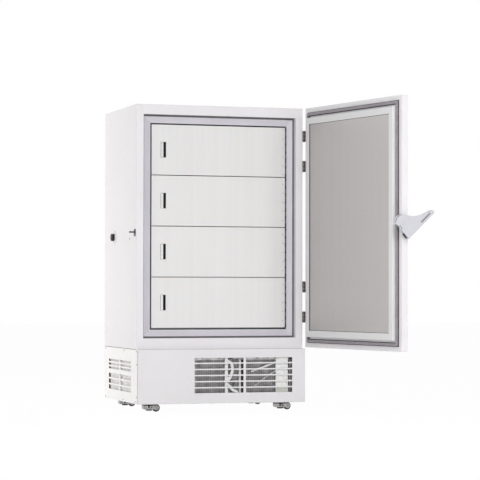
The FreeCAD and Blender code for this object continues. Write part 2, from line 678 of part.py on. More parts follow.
def lever_rear(out):
    """Ends of the straight rear edge: its start on the hub, and the heel below."""
    half_chord = math.degrees(math.acos(LATCH_EDGE_DISTANCE / LATCH_HUB_RADIUS))
    start = latch_polar(LATCH_HUB_RADIUS, 180 + LATCH_TURN - half_chord, out)
    fall = math.radians(LATCH_TURN)
    heel = start.add(V(0, -LATCH_EDGE_LENGTH * math.cos(fall), -LATCH_EDGE_LENGTH * math.sin(fall)))
    return start, heel


def lever_face(out):
    """Outline of the lever: hub arc, hollow upper edge, round tip, straight lower and rear edges."""
    hub_start, heel = lever_rear(out)
    hub_end = latch_polar(LATCH_HUB_RADIUS, LATCH_HUB_END_ANGLE, out)
    hub_middle = latch_polar(LATCH_HUB_RADIUS, (180 + LATCH_HUB_END_ANGLE) / 2, out)
    waist = latch_point(LATCH_WAIST_REACH, LATCH_WAIST_RISE, out)
    grip = latch_point(LATCH_GRIP_REACH, LATCH_GRIP_RISE, out)
    tip = latch_point(LATCH_TIP_REACH, LATCH_TIP_RISE, out)
    chin = latch_point(LATCH_CHIN_REACH, LATCH_CHIN_RISE, out)
    edges = [Part.Arc(hub_start, hub_middle, hub_end).toShape(), Part.Arc(hub_end, waist, grip).toShape(),
             Part.Arc(grip, tip, chin).toShape(), Part.LineSegment(chin, heel).toShape(),
             Part.LineSegment(heel, hub_start).toShape()]
    return Part.Face(Part.Wire(edges))


def lever_rear_opening(out, depth):
    """The shell's wall is left off along the rear edge, where the hook looks out."""
    start, heel = lever_rear(out)
    along = heel.sub(start).normalize()
    behind = V(0, -along.z, along.y).normalize() * (2 * LATCH_WALL)
    if behind.y < 0:
        behind = behind * -1
    first, last = start.add(along * (2 * LATCH_WALL)), heel.sub(along * (2 * LATCH_WALL))
    corners = [first.sub(behind), last.sub(behind), last.add(behind), first.add(behind)]
    return prism(lines(corners), V(-depth, 0, 0))


def latch_handle():
    base = LATCH_BASE_THICKNESS + LATCH_GAP
    face = base + LATCH_DEPTH
    depth = LATCH_DEPTH - LATCH_WALL
    body = lever_face(base).extrude(V(-LATCH_DEPTH, 0, 0))
    hollow = lever_face(base - 1).makeOffset2D(-LATCH_WALL).extrude(V(-depth - 1, 0, 0))
    shell = body.cut(hollow).cut(lever_rear_opening(base - 1, depth + 1))
    boss = rod(LATCH_BOSS_RADIUS, latch_point(0, 0, base), latch_point(0, 0, face - LATCH_WALL))
    bore = rod(LATCH_PIN_RADIUS + RUNNING_CLEARANCE, latch_point(0, 0, base - 1), latch_point(0, 0, face + 1))
    return fuse([shell, boss, latch_hook(base)]).cut(bore).cut(grip_slot(face))


def grip_slot(face):
    """Shallow finger slot beside the bar that makes the grip's lower edge."""
    heel = lever_rear(0)[1]
    chin = latch_point(LATCH_CHIN_REACH, LATCH_CHIN_RISE, 0)
    along = heel.sub(chin).normalize()
    inward = V(0, along.z, -along.y)
    if inward.z < 0:
        inward = inward * -1
    corner = chin.add(along * GRIP_SLOT_MARGIN).add(inward * GRIP_BAR_WIDTH)
    far = corner.add(along * GRIP_SLOT_LENGTH)
    corners = [corner, far, far.add(inward * GRIP_SLOT_WIDTH), corner.add(inward * GRIP_SLOT_WIDTH)]
    floor = V(-(face - GRIP_SLOT_DEPTH), 0, 0)
    return prism(lines([point.add(floor) for point in corners]), V(-GRIP_SLOT_DEPTH - 1, 0, 0))


def latch_hook(base):
    """Plate inside the lever whose finger passes behind the striker pin."""
    out = base + HOOK_OFFSET
    reach = math.hypot(STRIKER_SETBACK, STRIKER_DROP)
    slot = STRIKER_PIN_RADIUS + HOOK_CLEARANCE
    free = 180 + math.degrees(math.atan2(STRIKER_DROP, STRIKER_SETBACK))
    held = free + LATCH_TURN
    outer = reach + slot + HOOK_FINGER
    arm = Part.makeCylinder(outer, HOOK_THICKNESS, latch_point(0, 0, out), V(-1, 0, 0))
    wedge = [latch_point(0, 0, out - 1), latch_polar(outer * 2, held - 12, out - 1),
             latch_polar(outer * 2, held + 20, out - 1)]
    arm = arm.common(prism(lines(wedge), V(-HOOK_THICKNESS - 2, 0, 0)))
    wide = Part.makeCylinder(reach + slot, HOOK_THICKNESS + 2, latch_point(0, 0, out - 1), V(-1, 0, 0))
    narrow = Part.makeCylinder(reach - slot, HOOK_THICKNESS + 2, latch_point(0, 0, out - 1), V(-1, 0, 0))
    sector = [latch_point(0, 0, out - 1), latch_polar(outer * 2, held - 30, out - 1),
              latch_polar(outer * 2, held, out - 1)]
    slot_arc = wide.cut(narrow).common(prism(lines(sector), V(-HOOK_THICKNESS - 2, 0, 0)))
    end = latch_polar(reach, held, out - 1)
    slot_end = Part.makeCylinder(slot, HOOK_THICKNESS + 2, end, V(-1, 0, 0))
    return arm.cut(slot_arc).cut(slot_end)


def latch_base():
    """Cast bracket screwed to the edge of the door, with an arm that carries the pivot."""
    near = DOOR_GAP + LATCH_FOOT_INSET
    far = DOOR_GAP + DOOR_THICKNESS - LATCH_FOOT_INSET
    low, high = -LATCH_FOOT_DROP, LATCH_FOOT_RISE
    foot = prism(lines([latch_point(near, low, 0), latch_point(far, low, 0),
                        latch_point(far, high, 0), latch_point(near, high, 0)]),
                 V(-LATCH_BASE_THICKNESS, 0, 0))
    foot = foot.makeChamfer(LATCH_FOOT_BEVEL, edges_along(foot, X_AXIS))
    lift = LATCH_ARM_LIFT
    thickness = LATCH_BASE_THICKNESS - lift
    root = near + LATCH_FOOT_BEVEL
    flare = LATCH_EYE_RADIUS + LATCH_ARM_FLARE
    eye = Part.makeCylinder(LATCH_EYE_RADIUS, thickness, latch_point(0, 0, lift), V(-1, 0, 0))
    arm = prism(lines([latch_point(0, -LATCH_EYE_RADIUS, lift), latch_point(root, -flare, lift),
                       latch_point(root, flare, lift), latch_point(0, LATCH_EYE_RADIUS, lift)]),
                V(-thickness, 0, 0))
    bore = rod(LATCH_PIN_RADIUS, latch_point(0, 0, -1), latch_point(0, 0, LATCH_BASE_THICKNESS + 1))
    return fuse([foot, eye, arm]).cut(bore)


def latch_pivot():
    face = LATCH_BASE_THICKNESS + 2 * LATCH_GAP + LATCH_DEPTH
    pin = rod(LATCH_PIN_RADIUS, latch_point(0, 0, LATCH_ARM_LIFT), latch_point(0, 0, face))
    head = drum(LATCH_HEAD_RADIUS, latch_point(0, 0, face), latch_point(0, 0, face + LATCH_HEAD_HEIGHT),
                DRUM_SIDES)
    return fuse([pin, head])


def striker():
    y = FRONT_Y + STRIKER_SETBACK
    z = LATCH_PIVOT_Z - STRIKER_DROP
    half = STRIKER_PLATE_WIDTH / 2
    x1 = -HALF_W
    x0 = x1 - STRIKER_PLATE_THICKNESS
    plate = box(x0, x1, y - half, y + half, z - STRIKER_PLATE_DROP, z + STRIKER_PLATE_RISE)
    pin = rod(STRIKER_PIN_RADIUS, V(x0, y, z), V(x1 - STRIKER_PIN_LENGTH, y, z))
    return fuse([plate, pin])


# Access port: a flanged tube through the wall and its rubber plug.
def port_sleeve():
    y = FRONT_Y + PORT_SETBACK
    outer_x = -HALF_W
    inner_x = -CHAMBER_HALF
    radius = PORT_BORE_RADIUS + PORT_TUBE_WALL
    tube = rod(radius, V(outer_x, y, PORT_Z), V(inner_x, y, PORT_Z))
    flange = rod(PORT_FLANGE_RADIUS, V(outer_x - PORT_FLANGE_THICKNESS, y, PORT_Z), V(outer_x, y, PORT_Z))
    bore = rod(PORT_BORE_RADIUS, V(outer_x - 20, y, PORT_Z), V(inner_x + 20, y, PORT_Z))
    return fuse([tube, flange]).cut(bore)


def port_plug():
    y = FRONT_Y + PORT_SETBACK
    seat_x = -HALF_W - PORT_FLANGE_THICKNESS - SEAM
    shank = rod(PORT_BORE_RADIUS - PORT_PLUG_CLEARANCE, V(seat_x, y, PORT_Z),
                V(-HALF_W + PORT_PLUG_LENGTH, y, PORT_Z))
    head = rod(PORT_PLUG_HEAD_RADIUS, V(seat_x - PORT_PLUG_HEAD_HEIGHT, y, PORT_Z), V(seat_x, y, PORT_Z))
    return fuse([shank, head])


# Base: tray with posts, and the covers hung round it.
def base_chassis():
    front, back = CHASSIS_FRONT_Y, BACK_Y - SKIN - SEAM
    half = CHASSIS_HALF
    t = CHASSIS_FLANGE_THICKNESS
    tray = box(-half, half, front, back, CHASSIS_Z, TRAY_Z + CHASSIS_FLANGE)
    inside = box(-half + t, half - t, front + t, back - t, TRAY_Z, TRAY_Z + CHASSIS_FLANGE + 1)
    pieces = [tray.cut(inside)]
    for sx in (-1, 1):
        for y0, sy in ((FRONT_Y + SKIN, 1), (back - t, -1)):
            corner_x = sx * (half - t)
            flat = sorted((corner_x, corner_x - sx * POST_SIZE))
            edge = sorted((corner_x, corner_x - sx * POST_THICKNESS))
            deep = sorted((y0, y0 + sy * POST_THICKNESS))
            long = sorted((y0, y0 + sy * POST_SIZE))
            pieces.append(box(flat[0], flat[1], deep[0], deep[1], TRAY_Z, LEDGE_Z))
            pieces.append(box(edge[0], edge[1], long[0], long[1], TRAY_Z, LEDGE_Z))
    return fuse(pieces)


def base_front_cover():
    half = HALF_W
    inner = HALF_W - SKIN - SEAM * 2
    y0 = DOOR_OUTER_Y
    y1 = y0 + COVER_RETURN
    outer = box(-half, half, y0, y1, BASE_BOTTOM_Z, LEDGE_Z)
    rim = edges_along(outer, Z_AXIS, lambda p: p.y < y0 + 1)
    rim += edges_along(outer, X_AXIS, lambda p: p.y < y0 + 1)
    outer = outer.makeFillet(DOOR_EDGE_RADIUS, rim)
    inside = box(-half + SKIN, half - SKIN, y0 + SKIN, y1 + 1, BASE_BOTTOM_Z + SKIN, LEDGE_Z - SKIN)
    ledge = box(-inner, inner, y1 - 1, FRONT_Y - 1, LEDGE_Z - SKIN, LEDGE_Z)
    sill = box(-inner, inner, y1 - 1, CHASSIS_FRONT_Y + CHASSIS_OVERLAP, BASE_BOTTOM_Z, BASE_BOTTOM_Z + SKIN)
    cover = fuse([outer.cut(inside), ledge, sill])
    slots = []
    pillar_left = GRILLE_LEFT_X + GRILLE_PILLAR_MARGIN
    pillar_right = pillar_left + GRILLE_PILLAR_WIDTH
    for row in range(GRILLE_ROWS):
        z0 = GRILLE_BOTTOM_Z + row * GRILLE_PITCH
        for x0, x1 in ((GRILLE_LEFT_X, pillar_left), (pillar_right, GRILLE_RIGHT_X)):
            slots.append(box(x0, x1, y0 - 1, y0 + SKIN + 1, z0, z0 + GRILLE_SLOT))
    return cover.cut(Part.makeCompound(slots))


def side_grille_rows():
    rows = []
    z = GRILLE_BOTTOM_Z
    for index in range(SIDE_SLOT_ROWS):
        rows.append((z, z + SIDE_SLOT_TALL))
        z += SIDE_SLOT_TALL_PITCH
    z += SIDE_SLOT_STEP - (SIDE_SLOT_TALL_PITCH - SIDE_SLOT_TALL)
    for index in range(SIDE_SLOT_ROWS):
        rows.append((z, z + SIDE_SLOT_THIN))
        z += SIDE_SLOT_THIN_PITCH
    return rows


def base_panel_side(sign):
    """Side cover with two columns of pressed louvres."""
    outer_x, inner_x = sign * HALF_W, sign * (HALF_W - SKIN)
    sheet = box(min(outer_x, inner_x), max(outer_x, inner_x), SIDE_PANEL_FRONT_Y, BACK_Y,
                BASE_BOTTOM_Z, LEDGE_Z - SEAM)
    hem = sorted((inner_x, sign * (HALF_W - SKIN - COVER_RETURN)))
    fold = box(hem[0], hem[1], SIDE_PANEL_FRONT_Y, SIDE_PANEL_FRONT_Y + SKIN,
               TRAY_Z + CHASSIS_FLANGE + 2, LEDGE_Z - SKIN * 3)
    y0 = FRONT_Y + SIDE_GRILLE_SETBACK
    length = (SIDE_GRILLE_LENGTH - SIDE_GRILLE_BAR) / 2
    slots, louvres = [], []
    for z0, z1 in side_grille_rows():
        for start in (y0, y0 + length + SIDE_GRILLE_BAR):
            slots.append(box(sign * HALF_W - 5, sign * HALF_W + 5, start, start + length, z0, z1))
            drop = min(LOUVRE_REACH, z1 - z0 - LOUVRE_OPEN)
            a = V(inner_x, start, z1)
            blade = [a, V(inner_x - sign * LOUVRE_REACH, start, z1 - drop),
                     V(inner_x - sign * (LOUVRE_REACH + SKIN), start, z1 - drop),
                     V(inner_x - sign * SKIN, start, z1 + SKIN * 0.4), V(inner_x, start, z1 + SKIN * 0.4)]
            louvres.append(prism(lines(blade), V(0, length, 0)))
    return fuse([fuse([sheet, fold]).cut(Part.makeCompound(slots))] + louvres)


def base_panel_back():
    edge = SKIN + SEAM
    y0, y1 = BACK_Y - SKIN, BACK_Y
    sheet = box(-HALF_W + edge, HALF_W - edge, y0, y1, BASE_BOTTOM_Z, LEDGE_Z - SEAM)
    slots = []
    for row in range(GRILLE_ROWS):
        z0 = GRILLE_BOTTOM_Z + row * GRILLE_PITCH
        slots.append(box(-REAR_GRILLE_LENGTH, 0, y0 - 1, y1 + 1, z0, z0 + REAR_SLOT))
    slots.append(inlet_block(0, y0 - 1, y1 + 1))
    return sheet.cut(Part.makeCompound(slots))


def inlet_block(margin, y0, y1):
    """Block round the inlet's axis, larger than its body all round by the margin."""
    half_w, half_h = INLET_WIDTH / 2 + margin, INLET_HEIGHT / 2 + margin
    return box(INLET_X - half_w, INLET_X + half_w, y0, y1, INLET_Z - half_h, INLET_Z + half_h)


def power_inlet():
    """Mains inlet with three blades, held in the rear cover by its flange."""
    back = BACK_Y - INLET_DEPTH
    flange = inlet_block(INLET_FLANGE, BACK_Y, BACK_Y + INLET_FLANGE_THICKNESS)
    body = inlet_block(-SEAM, back, BACK_Y)
    well = inlet_block(-INLET_WALL, back + INLET_WALL, BACK_Y + INLET_FLANGE_THICKNESS + 1)
    pieces = [fuse([flange, body]).cut(well)]
    thick, wide = INLET_BLADE_THICKNESS / 2, INLET_BLADE_WIDTH / 2
    for dx, dz in ((-INLET_BLADE_SPACING, -wide), (INLET_BLADE_SPACING, -wide), (0, wide)):
        x, z = INLET_X + dx, INLET_Z + dz
        pieces.append(box(x - thick, x + thick, back + INLET_WALL - 1, BACK_Y - INLET_FLANGE_THICKNESS,
                          z - wide, z + wide))
    return fuse(pieces)


# Machinery behind the covers.
def condenser_coil():
    """Block of close fins between two end plates, with a header pipe on the right."""
    x0, x1 = GRILLE_LEFT_X + COIL_SIDE_GAP, GRILLE_RIGHT_X - COIL_SIDE_GAP
    t = COIL_FRAME_THICKNESS
    block = box(x0, x1, COIL_Y + COIL_FIN_INSET, COIL_BACK_Y - COIL_FIN_INSET,
                TRAY_Z + COIL_FIN_SILL, COIL_TOP_Z - COIL_FIN_HEAD)
    pieces = [block]
    for x in (x0 - t, x1):
        pieces.append(box(x, x + t, COIL_Y, COIL_BACK_Y, TRAY_Z, COIL_TOP_Z))
    y = (COIL_Y + COIL_BACK_Y) / 2
    out = x1 + t + COIL_PIPE_REACH
    low, high = V(out, y, TRAY_Z + COIL_PIPE_MARGIN), V(out, y, COIL_TOP_Z - COIL_PIPE_MARGIN)
    rise = V(0, 0, COIL_TUBE_RADIUS)
    pieces.append(drum(COIL_TUBE_RADIUS, low.sub(rise), high.add(rise), PIPE_SIDES))
    for end in (low, high):
        pieces.append(drum(COIL_TUBE_RADIUS, V(x1 + t / 2, y, end.z), end, PIPE_SIDES))
    return fuse(pieces)


def front_unit(x0, x1, z0, z1):
    """Moulded box fixed to the front of the fins, its front edges rounded."""
    back = COIL_Y + COIL_FIN_INSET - SEAM
    unit = box(x0, x1, back - CONTROL_UNIT_DEPTH, back, z0, z1)
    rim = edges_along(unit, Z_AXIS, lambda p: p.y < back - 1)
    return unit.makeFillet(CONTROL_UNIT_CORNER, rim)


def control_unit():
    x1 = GRILLE_RIGHT_X - CONTROL_UNIT_MARGIN
    z0 = TRAY_Z + CONTROL_UNIT_SILL
    return front_unit(x1 - CONTROL_UNIT_WIDTH, x1, z0, z0 + CONTROL_UNIT_HEIGHT)


def wire_duct():
    x0 = GRILLE_LEFT_X + WIRE_DUCT_MARGIN
    z0 = TRAY_Z + CONTROL_UNIT_SILL
    return front_unit(x0, x0 + WIRE_DUCT_WIDTH, z0, z0 + CONTROL_UNIT_HEIGHT)


def fan_shroud():
    x0, x1 = GRILLE_LEFT_X + SHROUD_SIDE_GAP, GRILLE_RIGHT_X - SHROUD_SIDE_GAP
    y0 = COIL_BACK_Y
    plate = box(x0, x1, y0, y0 + SHROUD_THICKNESS, TRAY_Z, COIL_TOP_Z)
    bore = FAN_RADIUS + FAN_TIP_GAP
    start = V(FAN_X, y0, FAN_Z)
    venturi = drum(bore + VENTURI_THICKNESS, start, start.add(V(0, VENTURI_DEPTH, 0)), DRUM_SIDES)
    hole = drum(bore, start.sub(Y_AXIS), start.add(V(0, VENTURI_DEPTH + 1, 0)), DRUM_SIDES)
    return fuse([plate, venturi]).cut(hole)


def fan_blades():
    start = V(FAN_X, COIL_BACK_Y + FAN_SETBACK, FAN_Z)
    end = start.add(V(0, FAN_HUB_HEIGHT, 0))
    pieces = [drum(FAN_HUB_RADIUS, start, end, DRUM_SIDES)]
    half, thick = FAN_BLADE_WIDTH / 2, FAN_BLADE_THICKNESS / 2
    for index in range(FAN_BLADES):
        blade = box(-half, half, -thick, thick, FAN_HUB_RADIUS - FAN_BLADE_ROOT, FAN_BLADE_TIP)
        blade.rotate(V(0, 0, 0), Z_AXIS, FAN_BLADE_TILT)
        blade.translate(start.add(V(0, FAN_HUB_HEIGHT / 2, 0)))
        blade.rotate(start, Y_AXIS, 360 / FAN_BLADES * index)
        pieces.append(blade)
    bore = rod(FAN_SHAFT_RADIUS + RUNNING_CLEARANCE, start.sub(Y_AXIS), end.add(Y_AXIS))
    return fuse(pieces).cut(bore)


def fan_motor():
    """Motor on a cross of two bars over the mouth of the shroud."""
    y0 = COIL_BACK_Y + VENTURI_DEPTH
    start = V(FAN_X, y0, FAN_Z)
    bar_end = y0 + MOTOR_BAR_THICKNESS
    body = drum(MOTOR_RADIUS, start.add(Y_AXIS), start.add(V(0, MOTOR_LENGTH, 0)), DRUM_SIDES)
    shaft = rod(FAN_SHAFT_RADIUS, V(FAN_X, COIL_BACK_Y + FAN_SETBACK - 1, FAN_Z), start.add(Y_AXIS * 2))
    reach = FAN_RADIUS + FAN_TIP_GAP + VENTURI_THICKNESS
    half = MOTOR_BAR_WIDTH / 2
    bar = box(FAN_X - reach, FAN_X + reach, y0, bar_end, FAN_Z - half, FAN_Z + half)
    post = box(FAN_X - half, FAN_X + half, y0, bar_end, FAN_Z - reach, FAN_Z + reach)
    return fuse([body, shaft, bar, post])


def compressor(y):
    """Hermetic compressor: steel can with a bevelled crown on a plate with four grommets."""
    x = COMPRESSOR_SIDE_SETBACK - HALF_W
    base_z = TRAY_Z + GROMMET_HEIGHT
    top_z = base_z + COMPRESSOR_HEIGHT
    can = drum(COMPRESSOR_RADIUS, V(x, y, base_z + 1), V(x, y, top_z), DRUM_SIDES)
    crown = [edge for edge in can.Edges if edge.CenterOfMass.z > top_z - 1]
    can = can.makeChamfer(COMPRESSOR_CROWN, crown)
    reach_x, reach_y = COMPRESSOR_PLATE_LENGTH / 2, COMPRESSOR_PLATE_WIDTH / 2
    plate = box(x - reach_x, x + reach_x, y - reach_y, y + reach_y,
                base_z, base_z + COMPRESSOR_PLATE_THICKNESS)
    pieces = [can, plate]
    half = GROMMET_SIZE / 2
    for sx in (-1, 1):
        for sy in (-1, 1):
            x0 = x + sx * (reach_x - half)
            y0 = y + sy * (reach_y - half)
            pieces.append(box(x0 - half, x0 + half, y0 - half, y0 + half, TRAY_Z, base_z))
    inside = V(x + COMPRESSOR_RADIUS * 0.9, y, base_z + COMPRESSOR_STUB_RISE)
    outside = V(x + COMPRESSOR_RADIUS + COMPRESSOR_STUB_REACH, y, base_z + COMPRESSOR_STUB_RISE)
    pieces.append(drum(COIL_TUBE_RADIUS, inside, outside, PIPE_SIDES))
    return fuse(pieces)


def electrical_box():
    x1 = HALF_W - ELECTRIC_BOX_SIDE_GAP
    y1 = BACK_Y - ELECTRIC_BOX_BACK_GAP
    x0, y0 = x1 - ELECTRIC_BOX_WIDTH, y1 - ELECTRIC_BOX_DEPTH
    top, lip = TRAY_Z + ELECTRIC_BOX_HEIGHT, ELECTRIC_LID_LIP
    case = box(x0, x1, y0, y1, TRAY_Z, top)
    lid = box(x0 - lip, x1 + lip, y0 - lip, y1 + lip, top, top + ELECTRIC_LID_HEIGHT)
    return fuse([case, lid])


# Levelling castors: plate, swivelling cast body, nylon wheel, and a foot on a screw.
def castor_places():
    places = {}
    x = HALF_W - CASTOR_SIDE_SETBACK
    for end, y in (("front", FRONT_Y + CASTOR_FRONT_SETBACK), ("rear", BACK_Y - CASTOR_REAR_SETBACK)):
        places[end + "_left"] = V(-x, y, 0)
        places[end + "_right"] = V(x, y, 0)
    return places


def castor_plate(at):
    half = CASTOR_PLATE_SIZE / 2
    plate = box(at.x - half, at.x + half, at.y - half, at.y + half, CASTOR_PLATE_Z, CHASSIS_Z)
    king = Part.makeCylinder(CASTOR_KING_RADIUS, CASTOR_KING_LENGTH + 1,
                             V(at.x, at.y, CASTOR_PLATE_Z - CASTOR_KING_LENGTH))
    return fuse([plate, king])


def castor_body(at):
    """Cast body open below over the wheel, with a window on each side for the levelling nut."""
    half = CASTOR_WIDTH / 2
    low, top = CASTOR_BODY_BOTTOM_Z, CASTOR_BODY_TOP_Z
    bevel = CASTOR_BEVEL
    nose = CASTOR_TRAIL + CASTOR_CHEEK_RADIUS
    low_axle = WHEEL_RADIUS - CASTOR_CHEEK_RADIUS
    outline = [(-CASTOR_REAR, top), (-CASTOR_REAR, low + bevel), (-CASTOR_REAR + bevel, low),
               (CASTOR_TRAIL - CASTOR_CHEEK_RADIUS, low), (CASTOR_TRAIL - bevel, low_axle),
               (CASTOR_TRAIL + bevel, low_axle), (nose, WHEEL_RADIUS - bevel), (nose, top - 2 * bevel),
               (nose - 2 * bevel, top)]
    body = prism(lines([V(at.x + x, at.y - half, z) for x, z in outline]), V(0, CASTOR_WIDTH, 0))
    body = body.cut(wheel_bay(at)).cut(nut_window(at))
    king_low = CASTOR_PLATE_Z - CASTOR_KING_LENGTH - CASTOR_GAP
    king = rod(CASTOR_KING_RADIUS + RUNNING_CLEARANCE, V(at.x, at.y, king_low), V(at.x, at.y, top + 1))
    stud = rod(FOOT_STUD_RADIUS + RUNNING_CLEARANCE, V(at.x, at.y, 0), V(at.x, at.y, top))
    across = V(0, WHEEL_WIDTH / 2 + WHEEL_CLEARANCE + 1, 0)
    hub = V(at.x + CASTOR_TRAIL, at.y, WHEEL_RADIUS)
    axle = rod(WHEEL_AXLE_RADIUS, hub.sub(across), hub.add(across))
    return body.cut(king).cut(stud).fuse(axle).removeSplitter()


def wheel_bay(at):
    tread = WHEEL_WIDTH / 2 + WHEEL_CLEARANCE
    reach = WHEEL_RADIUS + WHEEL_CLEARANCE
    x = at.x + CASTOR_TRAIL
    return box(x - reach, x + reach, at.y - tread, at.y + tread, 0, WHEEL_RADIUS + reach)


def nut_window(at):
    half_x, half_y = FOOT_WINDOW_WIDTH / 2, CASTOR_WIDTH / 2 + 1
    top = foot_nut_top() + CASTOR_GAP
    bottom = foot_nut_top() - FOOT_NUT_HEIGHT - FOOT_TRAVEL - CASTOR_GAP
    return box(at.x - half_x, at.x + half_x, at.y - half_y, at.y + half_y, bottom, top)


def castor_wheel(at):
    """Nylon wheel on the axle that is fixed in the body."""
    hub = V(at.x + CASTOR_TRAIL, at.y, WHEEL_RADIUS)
    half = V(0, WHEEL_WIDTH / 2, 0)
    tyre = drum(WHEEL_RADIUS, hub.sub(half), hub.add(half), WHEEL_SIDES)
    return tyre.cut(rod(WHEEL_AXLE_RADIUS + RUNNING_CLEARANCE, hub.sub(half * 2), hub.add(half * 2)))


def foot_nut_top():
    return CASTOR_PLATE_Z - CASTOR_KING_LENGTH - 2 * CASTOR_GAP - FOOT_NUT_CLEARANCE


def castor_foot(at):
    """Levelling foot: pad, threaded stud and the hexagon that a spanner turns."""
    base = V(at.x, at.y, FOOT_LIFT)
    pad = drum(FOOT_PAD_RADIUS, base, base.add(V(0, 0, FOOT_PAD_HEIGHT)), DRUM_SIDES)
    nut_top = foot_nut_top()
    stud = rod(FOOT_STUD_RADIUS, base.add(Z_AXIS), V(at.x, at.y, nut_top - 1))
    corners = [V(at.x + FOOT_NUT_RADIUS * math.cos(math.radians(60 * i)),
                 at.y + FOOT_NUT_RADIUS * math.sin(math.radians(60 * i)), nut_top - FOOT_NUT_HEIGHT)
               for i in range(6)]
    return fuse([pad, stud, prism(lines(corners), V(0, 0, FOOT_NUT_HEIGHT))])


def build():
    second_stage_y = BACK_Y - COMPRESSOR_BACK_SETBACK
    nodes = {
        "cabinet_shell": cabinet_shell(),
        "top_panel": top_panel(),
        "back_panel": back_panel(),
        "insulation_left": insulation_side(-1),
        "insulation_right": insulation_side(1),
        "insulation_top": insulation_end(CHAMBER_TOP_Z + LINER_THICKNESS, TOP_Z - SKIN,
                                         OPENING_TOP_Z + SKIN, TOP_Z - SKIN),
        "insulation_floor": insulation_end(LEDGE_Z + SKIN, CHAMBER_BOTTOM_Z - LINER_THICKNESS,
                                           LEDGE_Z + SKIN, OPENING_BOTTOM_Z - SKIN),
        "insulation_back": insulation_back(),
        "chamber_liner": chamber_liner(),
        "recess_seal": recess_seal(),
        "breaker_frame": breaker_frame(),
        "inner_hinge_frames": inner_hinge_frames(),
        "hinge_leaves_cabinet": Part.makeCompound([hinge_leaf(z, False) for z in HINGE_CENTRES_Z]),
        "striker": striker(),
        "port_sleeve": port_sleeve(),
        "port_plug": port_plug(),
        "base_chassis": base_chassis(),
        "base_front_cover": base_front_cover(),
        "base_panel_left": base_panel_side(-1),
        "base_panel_right": base_panel_side(1),
        "base_panel_back": base_panel_back(),
        "power_inlet": power_inlet(),
        "condenser_coil": condenser_coil(),
        "control_unit": control_unit(),
        "wire_duct": wire_duct(),
        "fan_shroud": fan_shroud(),
        "fan_motor": fan_motor(),
        "fan_blades": fan_blades(),
        "compressor_first_stage": compressor(second_stage_y - COMPRESSOR_SPACING),
        "compressor_second_stage": compressor(second_stage_y),
        "electrical_box": electrical_box(),
        "door_shell": swing(door_shell()),
        "door_insulation": swing(door_insulation()),
        "door_liner": swing(door_liner()),
        "door_panel": swing(door_panel()),
        "door_gasket": swing(door_gasket()),
        "hinge_leaves_door": swing(Part.makeCompound([hinge_leaf(z, True) for z in HINGE_CENTRES_Z])),
        "latch_base": swing(latch_base()),
        "latch_pivot": swing(latch_pivot()),
        "latch_handle": swing(latch_handle()),
    }
    for number, z in enumerate(shelf_heights(), 1):
        nodes["shelf_%d" % number] = shelf(z)
    for number, (bottom, top) in enumerate(inner_door_bands(), 1):
        nodes["inner_door_%d" % number] = inner_door(bottom, top)
    castors = castor_places()
    nodes["castor_plates"] = Part.makeCompound([castor_plate(at) for at in castors.values()])
    for name, at in castors.items():
        nodes["castor_body_" + name] = castor_body(at)
        nodes["castor_wheel_" + name] = castor_wheel(at)
        nodes["castor_foot_" + name] = castor_foot(at)
    return nodes


os.makedirs("parts", exist_ok=True)
for node, shape in build().items():
    shape.exportStep("parts/" + node + ".step")
    print(node, len(shape.Solids), "solids", round(shape.Volume / 1000), "cm3", shape.isValid())
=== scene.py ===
import json
import math

import bmesh
import bpy
from mathutils import Matrix, Vector, noise

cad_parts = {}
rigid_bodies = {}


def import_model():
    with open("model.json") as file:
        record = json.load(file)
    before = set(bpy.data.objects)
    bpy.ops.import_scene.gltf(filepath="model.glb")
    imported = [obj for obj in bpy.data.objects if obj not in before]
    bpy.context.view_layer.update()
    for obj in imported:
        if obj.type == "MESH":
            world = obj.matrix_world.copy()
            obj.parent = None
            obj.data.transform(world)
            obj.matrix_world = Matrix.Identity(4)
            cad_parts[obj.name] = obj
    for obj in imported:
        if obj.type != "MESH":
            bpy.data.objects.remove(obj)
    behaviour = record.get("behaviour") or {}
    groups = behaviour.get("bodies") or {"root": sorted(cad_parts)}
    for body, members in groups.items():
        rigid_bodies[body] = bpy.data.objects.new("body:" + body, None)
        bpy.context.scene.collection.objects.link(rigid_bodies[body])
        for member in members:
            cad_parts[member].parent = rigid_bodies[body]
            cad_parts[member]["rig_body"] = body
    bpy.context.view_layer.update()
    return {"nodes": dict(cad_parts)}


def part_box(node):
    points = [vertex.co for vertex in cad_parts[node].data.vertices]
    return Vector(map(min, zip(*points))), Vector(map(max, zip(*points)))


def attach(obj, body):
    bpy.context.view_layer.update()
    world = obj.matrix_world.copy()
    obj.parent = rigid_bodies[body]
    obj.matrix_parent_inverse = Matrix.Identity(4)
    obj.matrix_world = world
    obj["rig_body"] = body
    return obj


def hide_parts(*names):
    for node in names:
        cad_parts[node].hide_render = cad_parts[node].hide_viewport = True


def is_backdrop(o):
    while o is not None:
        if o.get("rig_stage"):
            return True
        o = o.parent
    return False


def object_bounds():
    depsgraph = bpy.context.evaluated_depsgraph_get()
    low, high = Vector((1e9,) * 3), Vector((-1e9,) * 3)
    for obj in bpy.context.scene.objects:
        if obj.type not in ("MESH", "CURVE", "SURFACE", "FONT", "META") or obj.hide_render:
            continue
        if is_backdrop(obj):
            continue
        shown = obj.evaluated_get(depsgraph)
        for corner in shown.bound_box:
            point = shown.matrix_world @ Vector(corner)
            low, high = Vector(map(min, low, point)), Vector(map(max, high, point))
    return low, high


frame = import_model()
nodes = frame["nodes"]


# Cabinet casing: one folded steel sheet, powder-coated white, its recess walls turned in
# round the front opening. The folds have a small radius that catches the light.

def step(tree, kind, links, **settings):
    """Adds one node and its links. A link is socket name or number to output socket or value."""
    node = tree.nodes.new(kind)
    for key, value in settings.items():
        setattr(node, key, value)
    for socket, source in links.items():
        if isinstance(source, bpy.types.NodeSocket):
            tree.links.new(source, node.inputs[socket])
        else:
            node.inputs[socket].default_value = source
    return node


